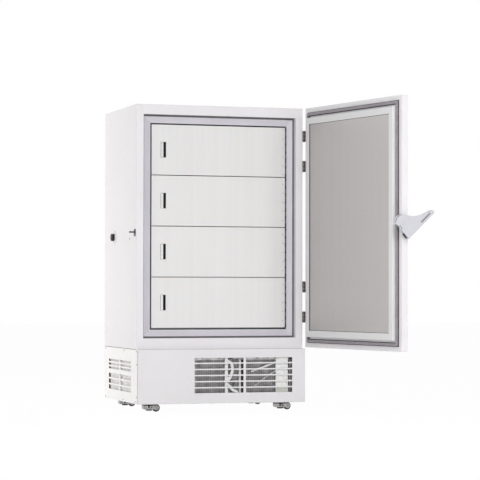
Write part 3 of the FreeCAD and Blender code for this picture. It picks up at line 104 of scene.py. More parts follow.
def new_finish(name, colour, roughness, metallic=0.0, grain=(1.0, 1.0, 1.0)):
    """A material with its pattern space: object coordinates, stretched along the grain."""
    made = bpy.data.materials.new(name)
    made.use_nodes = True
    tree = made.node_tree
    shader = tree.nodes["Principled BSDF"]
    shader.inputs["Base Color"].default_value = (*colour, 1)
    shader.inputs["Roughness"].default_value = roughness
    shader.inputs["Metallic"].default_value = metallic
    coordinates = tree.nodes.new("ShaderNodeTexCoord")
    mapping = step(tree, "ShaderNodeMapping", {"Vector": coordinates.outputs["Object"], "Scale": grain})
    return made, tree, shader, mapping


def cloud(tree, mapping, scale, detail=2.0, low=0.35, high=0.65):
    """Noise stretched to run from 0 to 1."""
    specks = step(tree, "ShaderNodeTexNoise", {"Vector": mapping.outputs["Vector"], "Scale": scale,
                                               "Detail": detail})
    spread = step(tree, "ShaderNodeMapRange", {"Value": specks.outputs["Fac"], "From Min": low,
                                               "From Max": high})
    return spread.outputs["Result"]


def tint(tree, shader, factor, dark, light):
    """Colour that wanders between two shades."""
    blend = step(tree, "ShaderNodeMix", {"Factor": factor, "A": (*dark, 1), "B": (*light, 1)},
                 data_type="RGBA")
    tree.links.new(blend.outputs["Result"], shader.inputs["Base Color"])


def rough(tree, shader, factor, low, high):
    """Roughness that wanders between two values."""
    span = step(tree, "ShaderNodeMapRange", {"Value": factor, "To Min": low, "To Max": high})
    tree.links.new(span.outputs["Result"], shader.inputs["Roughness"])


def relief(tree, shader, factor, strength, depth):
    """Fine bumps of the given depth."""
    bump = step(tree, "ShaderNodeBump", {"Height": factor, "Strength": strength, "Distance": depth})
    tree.links.new(bump.outputs["Normal"], shader.inputs["Normal"])


def clouded(name, colour, roughness, shade, drift, gloss, pores, metallic=0.0, grain=(1.0, 1.0, 1.0)):
    """A finish from three clouds: a drift to a darker shade, a gloss given by its scale and how
    much less and more rough it gets, and pores, whose last two values are strength and depth."""
    made, tree, shader, mapping = new_finish(name, colour, roughness, metallic, grain)
    tint(tree, shader, cloud(tree, mapping, *drift), [c * shade for c in colour], colour)
    scale, less, more = gloss
    rough(tree, shader, cloud(tree, mapping, scale), roughness - less, roughness + more)
    *fine, strength, depth = pores
    relief(tree, shader, cloud(tree, mapping, *fine), strength, depth)
    return made


def powder_coat(name, colour, roughness=0.42, shade=0.975):
    """Baked powder paint: fine orange peel, a faint drift of shade."""
    return clouded(name, colour, roughness, shade, (1.7,), (35.0, 0.05, 0.06), (900.0, 3.0, 0.10, 0.0002))


def coat(node, finish):
    """Gives a solid its finish."""
    target = nodes[node].data
    target.materials.clear()
    target.materials.append(finish)


def placed(name, data):
    """A new object in the scene, from its mesh, curve, lamp or lens."""
    made = bpy.data.objects.new(name, data)
    bpy.context.scene.collection.objects.link(made)
    return made


def modelled(name, mesh):
    """A new piece from the mesh that was worked on."""
    data = bpy.data.meshes.new(name)
    mesh.to_mesh(data)
    mesh.free()
    return placed(name, data)


def eased(piece, radius, segments):
    """Rounds a piece's edges and leaves the flats beside them flat."""
    piece.data.shade_smooth()
    edge = piece.modifiers.new("edge", "BEVEL")
    edge.width = radius
    edge.segments = segments
    edge.limit_method = "ANGLE"
    edge.angle_limit = math.radians(40)
    flats = piece.modifiers.new("flats", "WEIGHTED_NORMAL")
    flats.weight = 100
    flats.keep_sharp = True


def final_mesh(piece):
    """A piece's mesh with its modifiers worked in. The modifiers are then removed."""
    bpy.context.view_layer.update()
    graph = bpy.context.evaluated_depsgraph_get()
    mesh = bpy.data.meshes.new_from_object(piece.evaluated_get(graph))
    piece.modifiers.clear()
    return mesh


def settle(piece, body, slot, finish, *stands_for):
    """Turns a piece into a plain smooth-shaded mesh, paints it and hangs it on its body."""
    mesh = final_mesh(piece)
    if piece.type == "MESH":
        piece.data = mesh
    else:
        name = piece.name
        bpy.data.objects.remove(piece)
        piece = placed(name, mesh)
    mesh.materials.clear()
    mesh.materials.append(finish)
    if not mesh.has_custom_normals:
        mesh.shade_smooth()
        mesh.set_sharp_from_angle(angle=math.radians(35))
    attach(piece, body)
    if stands_for:
        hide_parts(*stands_for)
    return piece


def frame_body(node):
    """The body that a solid rides on."""
    return nodes[node]["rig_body"]


def softened(node, name, radius, slot, finish, segments=2):
    """A copy of a solid with its seams welded and its edges rounded, in its place."""
    mesh = nodes[node].data.copy()
    welded = bmesh.new()
    welded.from_mesh(mesh)
    bmesh.ops.remove_doubles(welded, verts=welded.verts, dist=0.00002)
    bmesh.ops.dissolve_limit(welded, angle_limit=math.radians(1), verts=welded.verts, edges=welded.edges)
    welded.to_mesh(mesh)
    welded.free()
    piece = placed(name, mesh)
    eased(piece, radius, segments)
    return settle(piece, frame_body(node), slot, finish, node)


white_paint = powder_coat("white_powder_coat", (0.80, 0.785, 0.80))
softened("cabinet_shell", "casing", 0.0010, "white_sheet", white_paint)
softened("top_panel", "roof_sheet", 0.0004, "white_sheet", white_paint)
softened("back_panel", "rear_sheet", 0.0004, "white_sheet", white_paint)


# Foam walls: rigid polyurethane foamed in place between casing and chamber, pale yellow
# with a fine cell structure. They only show where a sheet is off.

def rigid_foam(name):
    """Pale foam with fine open cells."""
    made, tree, shader, mapping = new_finish(name, (0.86, 0.80, 0.60), 0.9)
    tint(tree, shader, cloud(tree, mapping, 12.0), (0.78, 0.70, 0.48), (0.88, 0.83, 0.64))
    relief(tree, shader, cloud(tree, mapping, 420.0, 4.0), 0.6, 0.0006)
    return made


foam = rigid_foam("rigid_foam")
for wall in ("left", "right", "top", "floor", "back"):
    coat("insulation_" + wall, foam)
coat("door_insulation", foam)


# Chamber and shelves: stainless sheet with a brushed grain, welded into a box. The shelves
# lie on ledges, and each has its front edge folded down.

def brushed_stainless(name, colour, roughness, grain=(60.0, 60.0, 1.2), shade=0.94, metallic=1.0):
    """Ground sheet: long fine scratches one way, and faint long bands from the rolling."""
    made, tree, shader, mapping = new_finish(name, colour, roughness, metallic, grain)
    bands = step(tree, "ShaderNodeMapping", {"Vector": mapping.inputs["Vector"].links[0].from_socket,
                                             "Scale": [0.14 * along for along in grain]})
    tint(tree, shader, cloud(tree, bands, 3.0, 4.0), [c * shade for c in colour], colour)
    scratches = cloud(tree, mapping, 14.0, 6.0, 0.30, 0.70)
    rough(tree, shader, scratches, roughness - 0.05, roughness + 0.06)
    relief(tree, shader, scratches, 0.08, 0.0001)
    return made


chamber_steel = brushed_stainless("chamber_stainless", (0.62, 0.61, 0.61), 0.34)
coat("chamber_liner", chamber_steel)
for number in (1, 2, 3):
    coat("shelf_%d" % number, chamber_steel)


# Recess trim: a dark rubber seal round the recess, and inside it four mitred strips of
# lavender-grey moulding that keep frost off the frame. Fine ribs slant in towards the doors.

def rubber(name, colour, roughness=0.65):
    """Soft rubber or foam with a dull, faintly uneven skin."""
    return clouded(name, colour, roughness, 0.86, (22.0,), (60.0, 0.08, 0.08), (700.0, 3.0, 0.25, 0.0002))


def moulding(name, colour, roughness=0.38, shade=0.95):
    """Moulded or extruded plastic with a light satin grain."""
    return clouded(name, colour, roughness, shade, (3.5,), (80.0, 0.05, 0.07), (1300.0, 2.0, 0.12, 0.00012))


def border(name, half, low, high, profile, mitre=0.0):
    """A profile run round a rectangle, as four mitred lengths. Each profile point is its
    distance in from the outer edge and its place front to back."""
    mesh = bmesh.new()
    corners = ((-1, low, 1), (1, low, 1), (1, high, -1), (-1, high, -1))
    for side in range(4):
        ends = []
        for corner, away in ((side, 1), ((side + 1) % 4, -1)):
            sx, z, sz = corners[corner]
            upright = side in (1, 3)
            slip = mitre * away * (1 if side in (0, 1) else -1)
            ring = []
            for inset, y in profile:
                x = sx * (half - inset) + (0 if upright else slip)
                ring.append(mesh.verts.new((x, y, z + sz * inset + (slip if upright else 0))))
            ends.append(ring)
        first, last = ends
        count = len(profile)
        for index in range(count):
            follow = (index + 1) % count
            mesh.faces.new((first[index], first[follow], last[follow], last[index]))
        mesh.faces.new(first[::-1])
        mesh.faces.new(last)
    bmesh.ops.recalc_face_normals(mesh, faces=mesh.faces)
    return modelled(name, mesh)


# The same dark grey serves the recess seal and, in the base, painted shadow lines at the side covers'
# joints.
recess_rubber = rubber("recess_seal_rubber", (0.17, 0.16, 0.17))
seal_low, seal_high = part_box("recess_seal")
seal_profile = [(0.0, seal_high.y), (0.0, seal_low.y + 0.0006), (0.0015, seal_low.y), (0.0045, seal_low.y),
                (0.006, seal_low.y + 0.0014), (0.0075, seal_low.y), (0.0105, seal_low.y),
                (0.012, seal_low.y + 0.0006), (0.012, seal_high.y)]
recess_seal = border("recess_rubber", seal_high.x, seal_low.z, seal_high.z, seal_profile)
settle(recess_seal, "cabinet", "seal_rubber", recess_rubber, "recess_seal")

frame_plastic = moulding("breaker_moulding", (0.70, 0.68, 0.73), 0.36)
strip_low, strip_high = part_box("breaker_frame")
y_front, y_back = strip_low.y, strip_high.y
strip_width, strip_ribs, rib_drop, rib_riser, mitre_gap = 0.042, 10, 0.0022, 0.0003, 0.0002
strip_profile = [(0.0, y_back)]
for rib in range(strip_ribs):
    strip_profile.append((rib * strip_width / strip_ribs, y_front))
    strip_profile.append(((rib + 1) * strip_width / strip_ribs - rib_riser, y_front + rib_drop))
strip_profile += [(strip_width, y_front + rib_drop), (strip_width, y_back)]
strips = border("breaker_strips", strip_high.x, strip_low.z, strip_high.z, strip_profile, mitre_gap)
settle(strips, "cabinet", "frame_plastic", frame_plastic, "breaker_frame")


# Mouth strip: a soft black strip on the stop round the chamber's mouth and on each shelf's
# nose, which the inner doors close against. Its black is painted shade: the thin dark line of
# the gap round each door.

# Near-black for the strip round the mouth, as painted shade in the door gaps, and for the plug in the
# striker's hole.
shade_and_plug_black = rubber("mouth_seal_rubber", (0.030, 0.040, 0.040), 0.8)
mouth_half, mouth_low, mouth_top = 0.4605, 0.5295, 1.8575
mouth_back, lip_edge, lip_face = -0.3502, -0.3725, -0.3745
mouth_profile = [(0.0, mouth_back), (0.0, lip_edge), (0.001288, lip_face), (0.0069, lip_face),
                 (0.00736, lip_edge), (0.00736, mouth_back)]
mouth_seal = border("mouth_seal", mouth_half, mouth_low, mouth_top, mouth_profile)
settle(mouth_seal, "cabinet", "seal_rubber", shade_and_plug_black)


# Inner doors: insulated panels faced with brushed stainless. Each has a finger pull, a
# near-black moulded cup behind a steel lip, its black a painted shade inside the pull, and a
# row of rivets along its piano hinge.

def solid(name, blocks, radius=0.0, segments=2):
    """Blocks given as two corners each, joined in one mesh with rounded edges."""
    mesh = bmesh.new()
    for low, high in blocks:
        size = [b - a for a, b in zip(low, high)]
        centre = [(a + b) / 2 for a, b in zip(low, high)]
        block = bmesh.ops.create_cube(mesh, size=1.0)
        bmesh.ops.scale(mesh, vec=size, verts=block["verts"])
        bmesh.ops.translate(mesh, vec=centre, verts=block["verts"])
    piece = modelled(name, mesh)
    if radius:
        eased(piece, radius, segments)
    return piece


def cut_away(piece, tool):
    """Takes the tool's shape out of the piece, and deletes the tool."""
    knife = piece.modifiers.new("cut", "BOOLEAN")
    knife.operation = "DIFFERENCE"
    knife.solver = "EXACT"
    knife.object = tool
    piece.data = final_mesh(piece)
    bpy.data.objects.remove(tool)


door_steel = brushed_stainless("inner_door_stainless", (0.80, 0.792, 0.788), 0.34,
                               (70.0, 70.0, 1.0), 0.975, 0.4)
lip_steel = brushed_stainless("pull_lip_steel", (0.88, 0.88, 0.87), 0.25, (60.0, 60.0, 2.0), 0.95)
# Near-black for the cup: painted shade inside the pull.
cup_shade_black = moulding("pull_cup_plastic", (0.012, 0.012, 0.012), 0.5, 0.8)
door_face, door_right, door_gap = -0.378, 0.455, 0.0010
leaf_face, leaf_left, leaf_right = -0.3792, 0.428, 0.4530
pull_left, pull_width, pull_height, pull_depth = -0.391, 0.035, 0.100, 0.018
cup_play, cup_wall, cup_sunk = 0.0006, 0.0012, 0.0004
lip_inset, lip_reach, lip_proud, lip_sunk = 0.0007, 0.0170, 0.0004, 0.0016
door_bands = []
for number in (1, 2, 3, 4):
    name = "inner_door_%d" % number
    low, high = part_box(name)
    door_bands.append((low.z, high.z))
    middle = (low.z + high.z) / 2
    pull_low, pull_high = middle - pull_height / 2, middle + pull_height / 2
    panel = solid("door_panel_%d" % number, [((low.x, door_face, low.z + door_gap),
                                              (door_right, high.y, high.z - door_gap))])
    pocket = solid("pocket", [((pull_left, door_face - 0.01, pull_low),
                               (pull_left + pull_width, door_face + pull_depth, pull_high))])
    cut_away(panel, pocket)
    eased(panel, 0.0012, 3)
    settle(panel, name, "stainless", door_steel, name)
    x0, x1 = pull_left + cup_play, pull_left + pull_width - cup_play
    y0, y1 = door_face + cup_sunk, door_face + pull_depth - cup_play
    z0, z1 = pull_low + cup_play, pull_high - cup_play
    cup = solid("pull_cup_%d" % number, [((x0, y1 - cup_wall, z0), (x1, y1, z1)),
                                         ((x0, y0, z0), (x0 + cup_wall, y1, z1)),
                                         ((x1 - cup_wall, y0, z0), (x1, y1, z1)),
                                         ((x0, y0, z0), (x1, y1, z0 + cup_wall)),
                                         ((x0, y0, z1 - cup_wall), (x1, y1, z1))])
    settle(cup, name, "seal_rubber", cup_shade_black)
    lip = solid("pull_lip_%d" % number, [((x0 + lip_inset, door_face - lip_proud, z0 + lip_inset),
                                          (x0 + lip_reach, door_face + lip_sunk, z1 - lip_inset))], 0.0005)
    settle(lip, name, "stainless", lip_steel)
    leaf = solid("hinge_leaf_%d" % number, [((leaf_left, leaf_face, low.z + door_gap),
                                             (leaf_right, door_face + 0.0006, high.z - door_gap))], 0.0004)
    settle(leaf, name, "stainless", door_steel)


# Piano hinges: a row of rolled knuckles on each inner door, taken in turn by the door and the
# frame round one long pin, with a rivet every 59 mm on the door's leaf.

def node_tree(name, inputs):
    """A geometry tree with its named inputs."""
    tree = bpy.data.node_groups.new(name, "GeometryNodeTree")
    tree.interface.new_socket(name="Geometry", in_out="INPUT", socket_type="NodeSocketGeometry")
    for label, kind in inputs:
        tree.interface.new_socket(name=label, in_out="INPUT", socket_type="NodeSocket" + kind)
    tree.interface.new_socket(name="Geometry", in_out="OUTPUT", socket_type="NodeSocketGeometry")
    return tree, tree.nodes.new("NodeGroupInput"), tree.nodes.new("NodeGroupOutput")


def ended(tree, many, given, out):
    """Ends a tree: its instances are made real and take their finish."""
    real = step(tree, "GeometryNodeRealizeInstances", {"Geometry": many.outputs["Instances"]})
    painted = step(tree, "GeometryNodeSetMaterial", {"Geometry": real.outputs["Geometry"],
                                                     "Material": given.outputs["Finish"]})
    tree.links.new(painted.outputs["Geometry"], out.inputs["Geometry"])
    return tree


def even_row_tree():
    """One piece repeated along a straight row."""
    tree, given, out = node_tree("even_row", [("Piece", "Object"), ("Start", "Vector"), ("Step", "Vector"),
                                              ("Count", "Int"), ("Finish", "Material")])
    line = step(tree, "GeometryNodeMeshLine", {"Count": given.outputs["Count"],
                                               "Start Location": given.outputs["Start"],
                                               "Offset": given.outputs["Step"]}, mode="OFFSET")
    part = step(tree, "GeometryNodeObjectInfo", {"Object": given.outputs["Piece"]})
    many = step(tree, "GeometryNodeInstanceOnPoints", {"Points": line.outputs["Mesh"],
                                                       "Instance": part.outputs["Geometry"]})
    return ended(tree, many, given, out)


def grown(name, tree, values, points=((0, 0, 0),), facing=None):
    """A piece that a tree grows on a few points, each with its facing where the tree needs one."""
    seed = bpy.data.meshes.new(name)
    seed.from_pydata([tuple(p) for p in points], [], [])
    if facing:
        way = seed.attributes.new("facing", "FLOAT_VECTOR", "POINT")
        way.data.foreach_set("vector", [c for v in facing for c in v])
    piece = placed(name, seed)
    growth = piece.modifiers.new("growth", "NODES")
    growth.node_group = tree
    for item in tree.interface.items_tree:
        if item.name in values:
            growth[item.identifier] = values[item.name]
    return piece


def row_of(name, part, start, offset, count, body, slot, finish, *stands_for):
    """A row of one part, which is deleted when the row is made."""
    piece = grown(name, even_row, {"Piece": part, "Start": start, "Step": offset, "Count": count,
                                   "Finish": finish})
    settle(piece, body, slot, finish, *stands_for)
    bpy.data.objects.remove(part)


def lathe(name, profile, axis, centre, sides):
    """A turned piece. Each profile point is its radius and its place along the axis."""
    axis = Vector(axis).normalized()
    across = axis.orthogonal().normalized()
    other = axis.cross(across)
    centre = Vector(centre)
    mesh = bmesh.new()
    rings = []
    for radius, along in profile:
        if radius < 1e-6:
            rings.append([mesh.verts.new(centre + axis * along)])
            continue
        ring = []
        for index in range(sides):
            angle = 2 * math.pi * index / sides
            spoke = across * math.cos(angle) + other * math.sin(angle)
            ring.append(mesh.verts.new(centre + axis * along + spoke * radius))
        rings.append(ring)
    for first, second in zip(rings, rings[1:]):
        for index in range(sides):
            follow = (index + 1) % sides
            if len(first) == 1:
                mesh.faces.new((first[0], second[index], second[follow]))
            elif len(second) == 1:
                mesh.faces.new((first[index], second[0], first[follow]))
            else:
                mesh.faces.new((first[index], second[index], second[follow], first[follow]))
    bmesh.ops.recalc_face_normals(mesh, faces=mesh.faces)
    return modelled(name, mesh)


def satin_nickel(name, colour, roughness):
    """Plated or bare bright metal with a short grain."""
    return clouded(name, colour, roughness, 0.8, (9.0,), (25.0, 0.08, 0.08), (60.0, 0.1, 0.0001), 0.9,
                   (30.0, 30.0, 2.0))


even_row = even_row_tree()
upright = (0, 0, 1)
pin_x, pin_y, pin_radius, pin_sunk = 0.457, -0.383, 0.0016, 0.001
knuckle_radius, knuckle_gap, knuckle_pitch_goal = 0.0040, 0.0009, 0.0295
round_off, end_off = 0.0004, 0.0005
rivet_x, rivet_pitch, rivet_margin = 0.4395, 0.059, 0.03
pin_steel = brushed_stainless("pin_steel", (0.40, 0.39, 0.38), 0.30)
# Near-black for the frame's knuckles and dark grey for the door's: shaded and lighter copies of one hinge
# metal, a painted shade that draws the hinge as a dashed dark line.
frame_knuckle = satin_nickel("frame_knuckle", (0.05, 0.055, 0.055), 0.45)
door_knuckle = satin_nickel("door_knuckle", (0.17, 0.175, 0.17), 0.38)
for number, (low_z, high_z) in enumerate(door_bands, 1):
    door = "inner_door_%d" % number
    count = int(round((high_z - low_z) / knuckle_pitch_goal / 2)) * 2 + 1
    pitch = (high_z - low_z) / count
    length = pitch - knuckle_gap
    for owner, first, many, body, finish in (("frame", 0, (count + 1) // 2, "cabinet", frame_knuckle),
                                             ("door", 1, count // 2, door, door_knuckle)):
        rolled = lathe("rolled", [(0, 0), (knuckle_radius - round_off, 0), (knuckle_radius, end_off),
                                  (knuckle_radius, length - end_off), (knuckle_radius - round_off, length),
                                  (0, length)], upright, (0, 0, 0), 16)
        start = (pin_x, pin_y, low_z + first * pitch + knuckle_gap / 2)
        row_of("knuckles_%s_%d" % (owner, number), rolled, start, (0, 0, pitch * 2), many, body, "stainless",
               finish)
    pin = lathe("hinge_pin_%d" % number, [(0, low_z + pin_sunk), (pin_radius, low_z + pin_sunk),
                                          (pin_radius, high_z - pin_sunk), (0, high_z - pin_sunk)],
                upright, (pin_x, pin_y, 0), 12)
    settle(pin, "cabinet", "pin_steel", pin_steel)
    rivet = lathe("rivet", [(0, -0.0022), (0.0016, -0.0019), (0.0026, -0.0011), (0.0030, -0.0002),
                            (0.0030, 0.0002)],
                  (0, 1, 0), (0, 0, 0), 14)
    rivets = int((high_z - low_z - rivet_margin) / rivet_pitch) + 1
    margin = (high_z - low_z - (rivets - 1) * rivet_pitch) / 2
    row_of("rivets_%d" % number, rivet, (rivet_x, leaf_face, low_z + margin), (0, 0, rivet_pitch), rivets,
           door, "stainless", pin_steel)
frame_leaves = solid("frame_leaves", [((0.4600, -0.3799, low), (0.4609, -0.3505, high))
                                      for low, high in door_bands])
settle(frame_leaves, "cabinet", "stainless", door_steel, "inner_hinge_frames")


# Outer hinges: four satin nickel butt hinges on the right edge, with light washers between
# their knuckles, a painted highlight at the joints. The cabinet leaf has the end knuckles and
# the pin, the door leaf the middle one, and three screws hold each leaf.

def screw_head_tree():
    """Pan-head screws with a cross recess, one on each point, standing along its facing."""
    tree, given, out = node_tree("screw_heads", [("Head Radius", "Float"), ("Head Height", "Float"),
                                                 ("Recess Width", "Float"), ("Finish", "Material")])
    radius, height, width = (given.outputs[label]
                             for label in ("Head Radius", "Head Height", "Recess Width"))
    top = step(tree, "ShaderNodeMath", {0: radius, 1: 0.62}, operation="MULTIPLY")
    head = step(tree, "GeometryNodeMeshCone", {"Vertices": 20, "Radius Top": top.outputs[0],
                                               "Radius Bottom": radius, "Depth": height})
    span = step(tree, "ShaderNodeMath", {0: radius, 1: 0.95}, operation="MULTIPLY")
    lift = step(tree, "ShaderNodeCombineXYZ", {"Z": height})
    cross = step(tree, "GeometryNodeMeshBoolean", {"Mesh 1": head.outputs["Mesh"]}, operation="DIFFERENCE")
    for x, y in ((span.outputs[0], width), (width, span.outputs[0])):
        size = step(tree, "ShaderNodeCombineXYZ", {"X": x, "Y": y, "Z": height})
        cube = step(tree, "GeometryNodeMeshCube", {"Size": size.outputs[0]})
        bar = step(tree, "GeometryNodeTransform", {"Geometry": cube.outputs["Mesh"],
                                                   "Translation": lift.outputs[0]})
        tree.links.new(bar.outputs["Geometry"], cross.inputs["Mesh 2"])
    way = step(tree, "GeometryNodeInputNamedAttribute", {"Name": "facing"}, data_type="FLOAT_VECTOR")
    turn = step(tree, "FunctionNodeAlignRotationToVector", {"Vector": way.outputs["Attribute"]}, axis="Z")
    many = step(tree, "GeometryNodeInstanceOnPoints", {"Points": given.outputs["Geometry"],
                                                       "Instance": cross.outputs["Mesh"],
                                                       "Rotation": turn.outputs["Rotation"]})
    return ended(tree, many, given, out)


def screws(name, places, facing, radius, body, slot, finish):
    """Screw heads on the given places, all standing the same way."""
    piece = grown(name, screw_heads, {"Head Radius": radius, "Head Height": radius * 0.6,
                                      "Recess Width": radius * 0.24, "Finish": finish},
                  places, [facing] * len(places))
    settle(piece, body, slot, finish)


axis_x, axis_y = 0.570, -0.4235
hinge_origin = Vector((axis_x, axis_y, 0))
door_turn = Matrix.Rotation(math.radians(101.8), 4, "Z")


def opened(piece):
    """Turns a piece that is drawn on the closed door to where the door stands open."""
    piece.data.transform(Matrix.Translation(hinge_origin) @ door_turn @ Matrix.Translation(-hinge_origin))
    return piece


def open_point(point):
    """A place on the closed door, moved to where the door stands open."""
    return door_turn @ (Vector(point) - hinge_origin) + hinge_origin


def on_axis(profile, sides):
    """A piece turned round the hinges' axis."""
    return lathe("turned", profile, upright, (axis_x, axis_y, 0), sides)


def barrel(low, high):
    """A round knuckle with eased ends."""
    return on_axis([(0, low), (barrel_radius - barrel_ease, low), (barrel_radius, low + barrel_ease),
                    (barrel_radius, high - barrel_ease), (barrel_radius - barrel_ease, high), (0, high)], 28)


def joined(name, parts):
    """One mesh from several."""
    mesh = bmesh.new()
    for part in parts:
        mesh.from_mesh(part.data)
        bpy.data.objects.remove(part)
    return modelled(name, mesh)


screw_heads = screw_head_tree()
# Light washers: a painted highlight where the knuckles meet.
washer_highlight_metal = satin_nickel("hinge_washer", (0.60, 0.58, 0.56), 0.34)
nickel = satin_nickel("hinge_nickel", (0.17, 0.148, 0.142), 0.40)
dark_screw = satin_nickel("dark_screw", (0.16, 0.155, 0.15), 0.45)
hinge_centres = (1.792, 1.595, 0.806, 0.609)
hinge_height = 0.070
half, sixth, play = hinge_height / 2, hinge_height / 6, 0.0004
barrel_radius, barrel_ease = 0.0100, 0.0008
wall_x = 0.562
leaf_thick, leaf_wide, leaf_gap = 0.003, 0.034, 0.0109
leaf_out = wall_x + leaf_thick
cap_proud, cap_sunk, cap_rim, cap_flat, cap_ease = 0.0019, 0.0005, 0.0062, 0.0052, 0.0007
washer_radius, washer_half = 0.0103, 0.0011
hinge_screw, screw_line = 0.0038, 0.017
cabinet_parts, door_parts, cabinet_places, door_places, washers = [], [], [], [], []
for z in hinge_centres:
    foot, head, knuckle_low, knuckle_high = z - half, z + half, z - sixth, z + sixth
    cabinet_parts += [barrel(foot, knuckle_low), barrel(knuckle_high, head)]
    cabinet_parts.append(solid("leaf", [((wall_x, axis_y + leaf_gap, foot),
                                         (leaf_out, axis_y + leaf_gap + leaf_wide, head)),
                                        ((wall_x, axis_y, foot), (leaf_out, axis_y + leaf_gap, knuckle_low)),
                                        ((wall_x, axis_y, knuckle_high),
                                         (leaf_out, axis_y + leaf_gap, head))]))
    for low, high in ((foot - cap_proud, foot + cap_sunk), (head - cap_sunk, head + cap_proud)):
        cabinet_parts.append(on_axis([(0, low), (cap_flat, low), (cap_rim, low + cap_ease),
                                      (cap_rim, high - cap_ease), (cap_flat, high), (0, high)], 24))
    door_parts.append(barrel(knuckle_low + play, knuckle_high - play))
    door_parts.append(solid("leaf", [((wall_x, axis_y - leaf_gap - leaf_wide, foot),
                                      (leaf_out, axis_y - leaf_gap, head)),
                                     ((wall_x, axis_y - leaf_gap, knuckle_low + play),
                                      (leaf_out, axis_y, knuckle_high - play))]))
    for middle in (knuckle_low, knuckle_high):
        low, high = middle - washer_half, middle + washer_half
        washers.append(on_axis([(0, low), (washer_radius, low), (washer_radius, high), (0, high)], 28))
    for dz, shift in ((-0.024, -0.003), (0.0, 0.006), (0.024, -0.003)):
        cabinet_places.append((leaf_out, axis_y + leaf_gap + screw_line + shift, z + dz))
        door_places.append(open_point((leaf_out, axis_y - leaf_gap - screw_line - shift, z + dz)))
settle(joined("hinge_cabinet_halves", cabinet_parts), "cabinet", "hinge_metal", nickel,
       "hinge_leaves_cabinet")
settle(joined("hinge_washers", washers), "cabinet", "hinge_metal", washer_highlight_metal)
settle(opened(joined("hinge_door_halves", door_parts)), "outer_door", "hinge_metal", nickel,
       "hinge_leaves_door")
screws("hinge_screws_cabinet", cabinet_places, (1, 0, 0), hinge_screw, "cabinet", "hinge_metal", dark_screw)
screws("hinge_screws_door", door_places, door_turn @ Vector((1, 0, 0)), hinge_screw, "outer_door",
       "hinge_metal", dark_screw)


# Striker: a turned steel pin on a small plate on the left side, where the lever's hook takes
# hold, with two screws and a plugged hole below it.

striker_low, striker_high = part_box("striker")
striker_y, striker_z = -0.383, 1.155
plate_x, plate_front, plate_rear = -0.566, -0.398, -0.368
leftward = (-1, 0, 0)
plate_steel = satin_nickel("striker_steel", (0.13, 0.128, 0.13), 0.36)
plate = solid("plate", [((plate_x, plate_front, striker_low.z), (-wall_x, plate_rear, striker_high.z))])
pin = lathe("pin", [(0.009, -0.001), (0.009, 0.0015), (0.0065, 0.004), (0.0050, 0.005), (0.0050, 0.026),
                    (0.0060, 0.027), (0.0060, 0.0335), (0.0050, 0.034), (0, 0.034)],
            leftward, (plate_x, striker_y, striker_z), 28)
settle(joined("striker_pin", [plate, pin]), "cabinet", "pin_steel", plate_steel, "striker")
screws("striker_screws", [(plate_x, striker_y, striker_z + dz) for dz in (-0.018, 0.0135)],
       leftward, 0.0032, "cabinet", "pin_steel", dark_screw)
hole_place = (-wall_x, -0.252, 1.1145)
hole_plug = lathe("striker_hole_plug", [(0.0052, -0.0004), (0.0052, 0.0006), (0.0040, 0.0014), (0, 0.0016)],
                  leftward, hole_place, 24)
settle(hole_plug, "cabinet", "seal_rubber", shade_and_plug_black)


# Access port: a white flanged tube through the left wall, closed by a black rubber plug with
# a ribbed grip.

port_place = (-wall_x, 0.163, 1.133)
port_white = moulding("port_white", (0.80, 0.80, 0.80), 0.35)
flange = lathe("port_flange", [(0.0231, -0.101), (0.0279, -0.101), (0.0279, 0.0), (0.0449, 0.0),
                               (0.0449, 0.0022), (0.0432, 0.0038), (0.0290, 0.0039), (0.0240, 0.0032),
                               (0.0231, 0.0020), (0.0231, -0.101)], leftward, port_place, 64)
settle(flange, "cabinet", "port_plastic", port_white, "port_sleeve")
plug_rubber = rubber("port_plug_rubber", (0.012, 0.012, 0.012), 0.5)
plug = lathe("port_stopper", [(0, -0.0595), (0.0200, -0.0595), (0.0225, -0.057), (0.0227, 0.0046),
                              (0.0253, 0.0048), (0.0253, 0.0075), (0.0236, 0.0090), (0.0232, 0.0170),
                              (0.0244, 0.0185), (0.0236, 0.0200), (0.0190, 0.0203), (0.0170, 0.0190),
                              (0, 0.0187)],
             leftward, port_place, 56)
settle(plug, "port_plug", "plug_rubber", plug_rubber, "port_plug")


# Base: a galvanised tray on which the machinery stands, hidden by a powder-coated front cover
# with a slotted grille and by louvred side and rear covers, held with small screws. Dark strips
# at the side covers' joints are painted shadow lines, and pleated white mats filter the air
# behind their louvres.

def zinc_plate(name, colour):
    """Galvanised or plated steel with its spangle."""
    return clouded(name, colour, 0.45, 0.75, (40.0, 4.0, 0.42, 0.58), (60.0, 0.10, 0.13),
                   (300.0, 0.1, 0.0001), 0.85)


zinc = zinc_plate("zinc_plate", (0.50, 0.51, 0.52))
cover_paint = powder_coat("cover_powder_coat", (0.765, 0.752, 0.765))
side_paint = powder_coat("side_cover_powder_coat", (0.89, 0.88, 0.88))
filter_white = rubber("filter_mat", (0.88, 0.865, 0.85), 0.85)
cover_screw = 0.0042
cover_places = ((-0.430, 0.391), (-0.115, 0.391), (0.380, 0.391), (-0.440, 0.308), (-0.440, 0.101),
                (-0.085, 0.070), (-0.400, 0.070), (0.380, 0.070))
shadow_line_inner, shadow_line_outer = 0.5585, 0.5623
shadow_line_runs = (((-0.4148, 0.4022), (0.4130, 0.4058)), ((-0.4585, 0.0620), (-0.4518, 0.4000)))
louvre_back, mat_depth, mat_start, mat_low, mat_high = 0.5498, 0.005, -0.298, 0.118, 0.326
pleat_wide, pleat_pitch, pleats = 0.0046, 0.0047, 128
softened("base_chassis", "chassis_tray", 0.0005, "zinc_sheet", zinc)
softened("base_front_cover", "front_cover", 0.0007, "base_sheet", cover_paint)
for side in ("left", "right"):
    softened("base_panel_" + side, "side_cover_" + side, 0.0004, "base_sheet", side_paint)
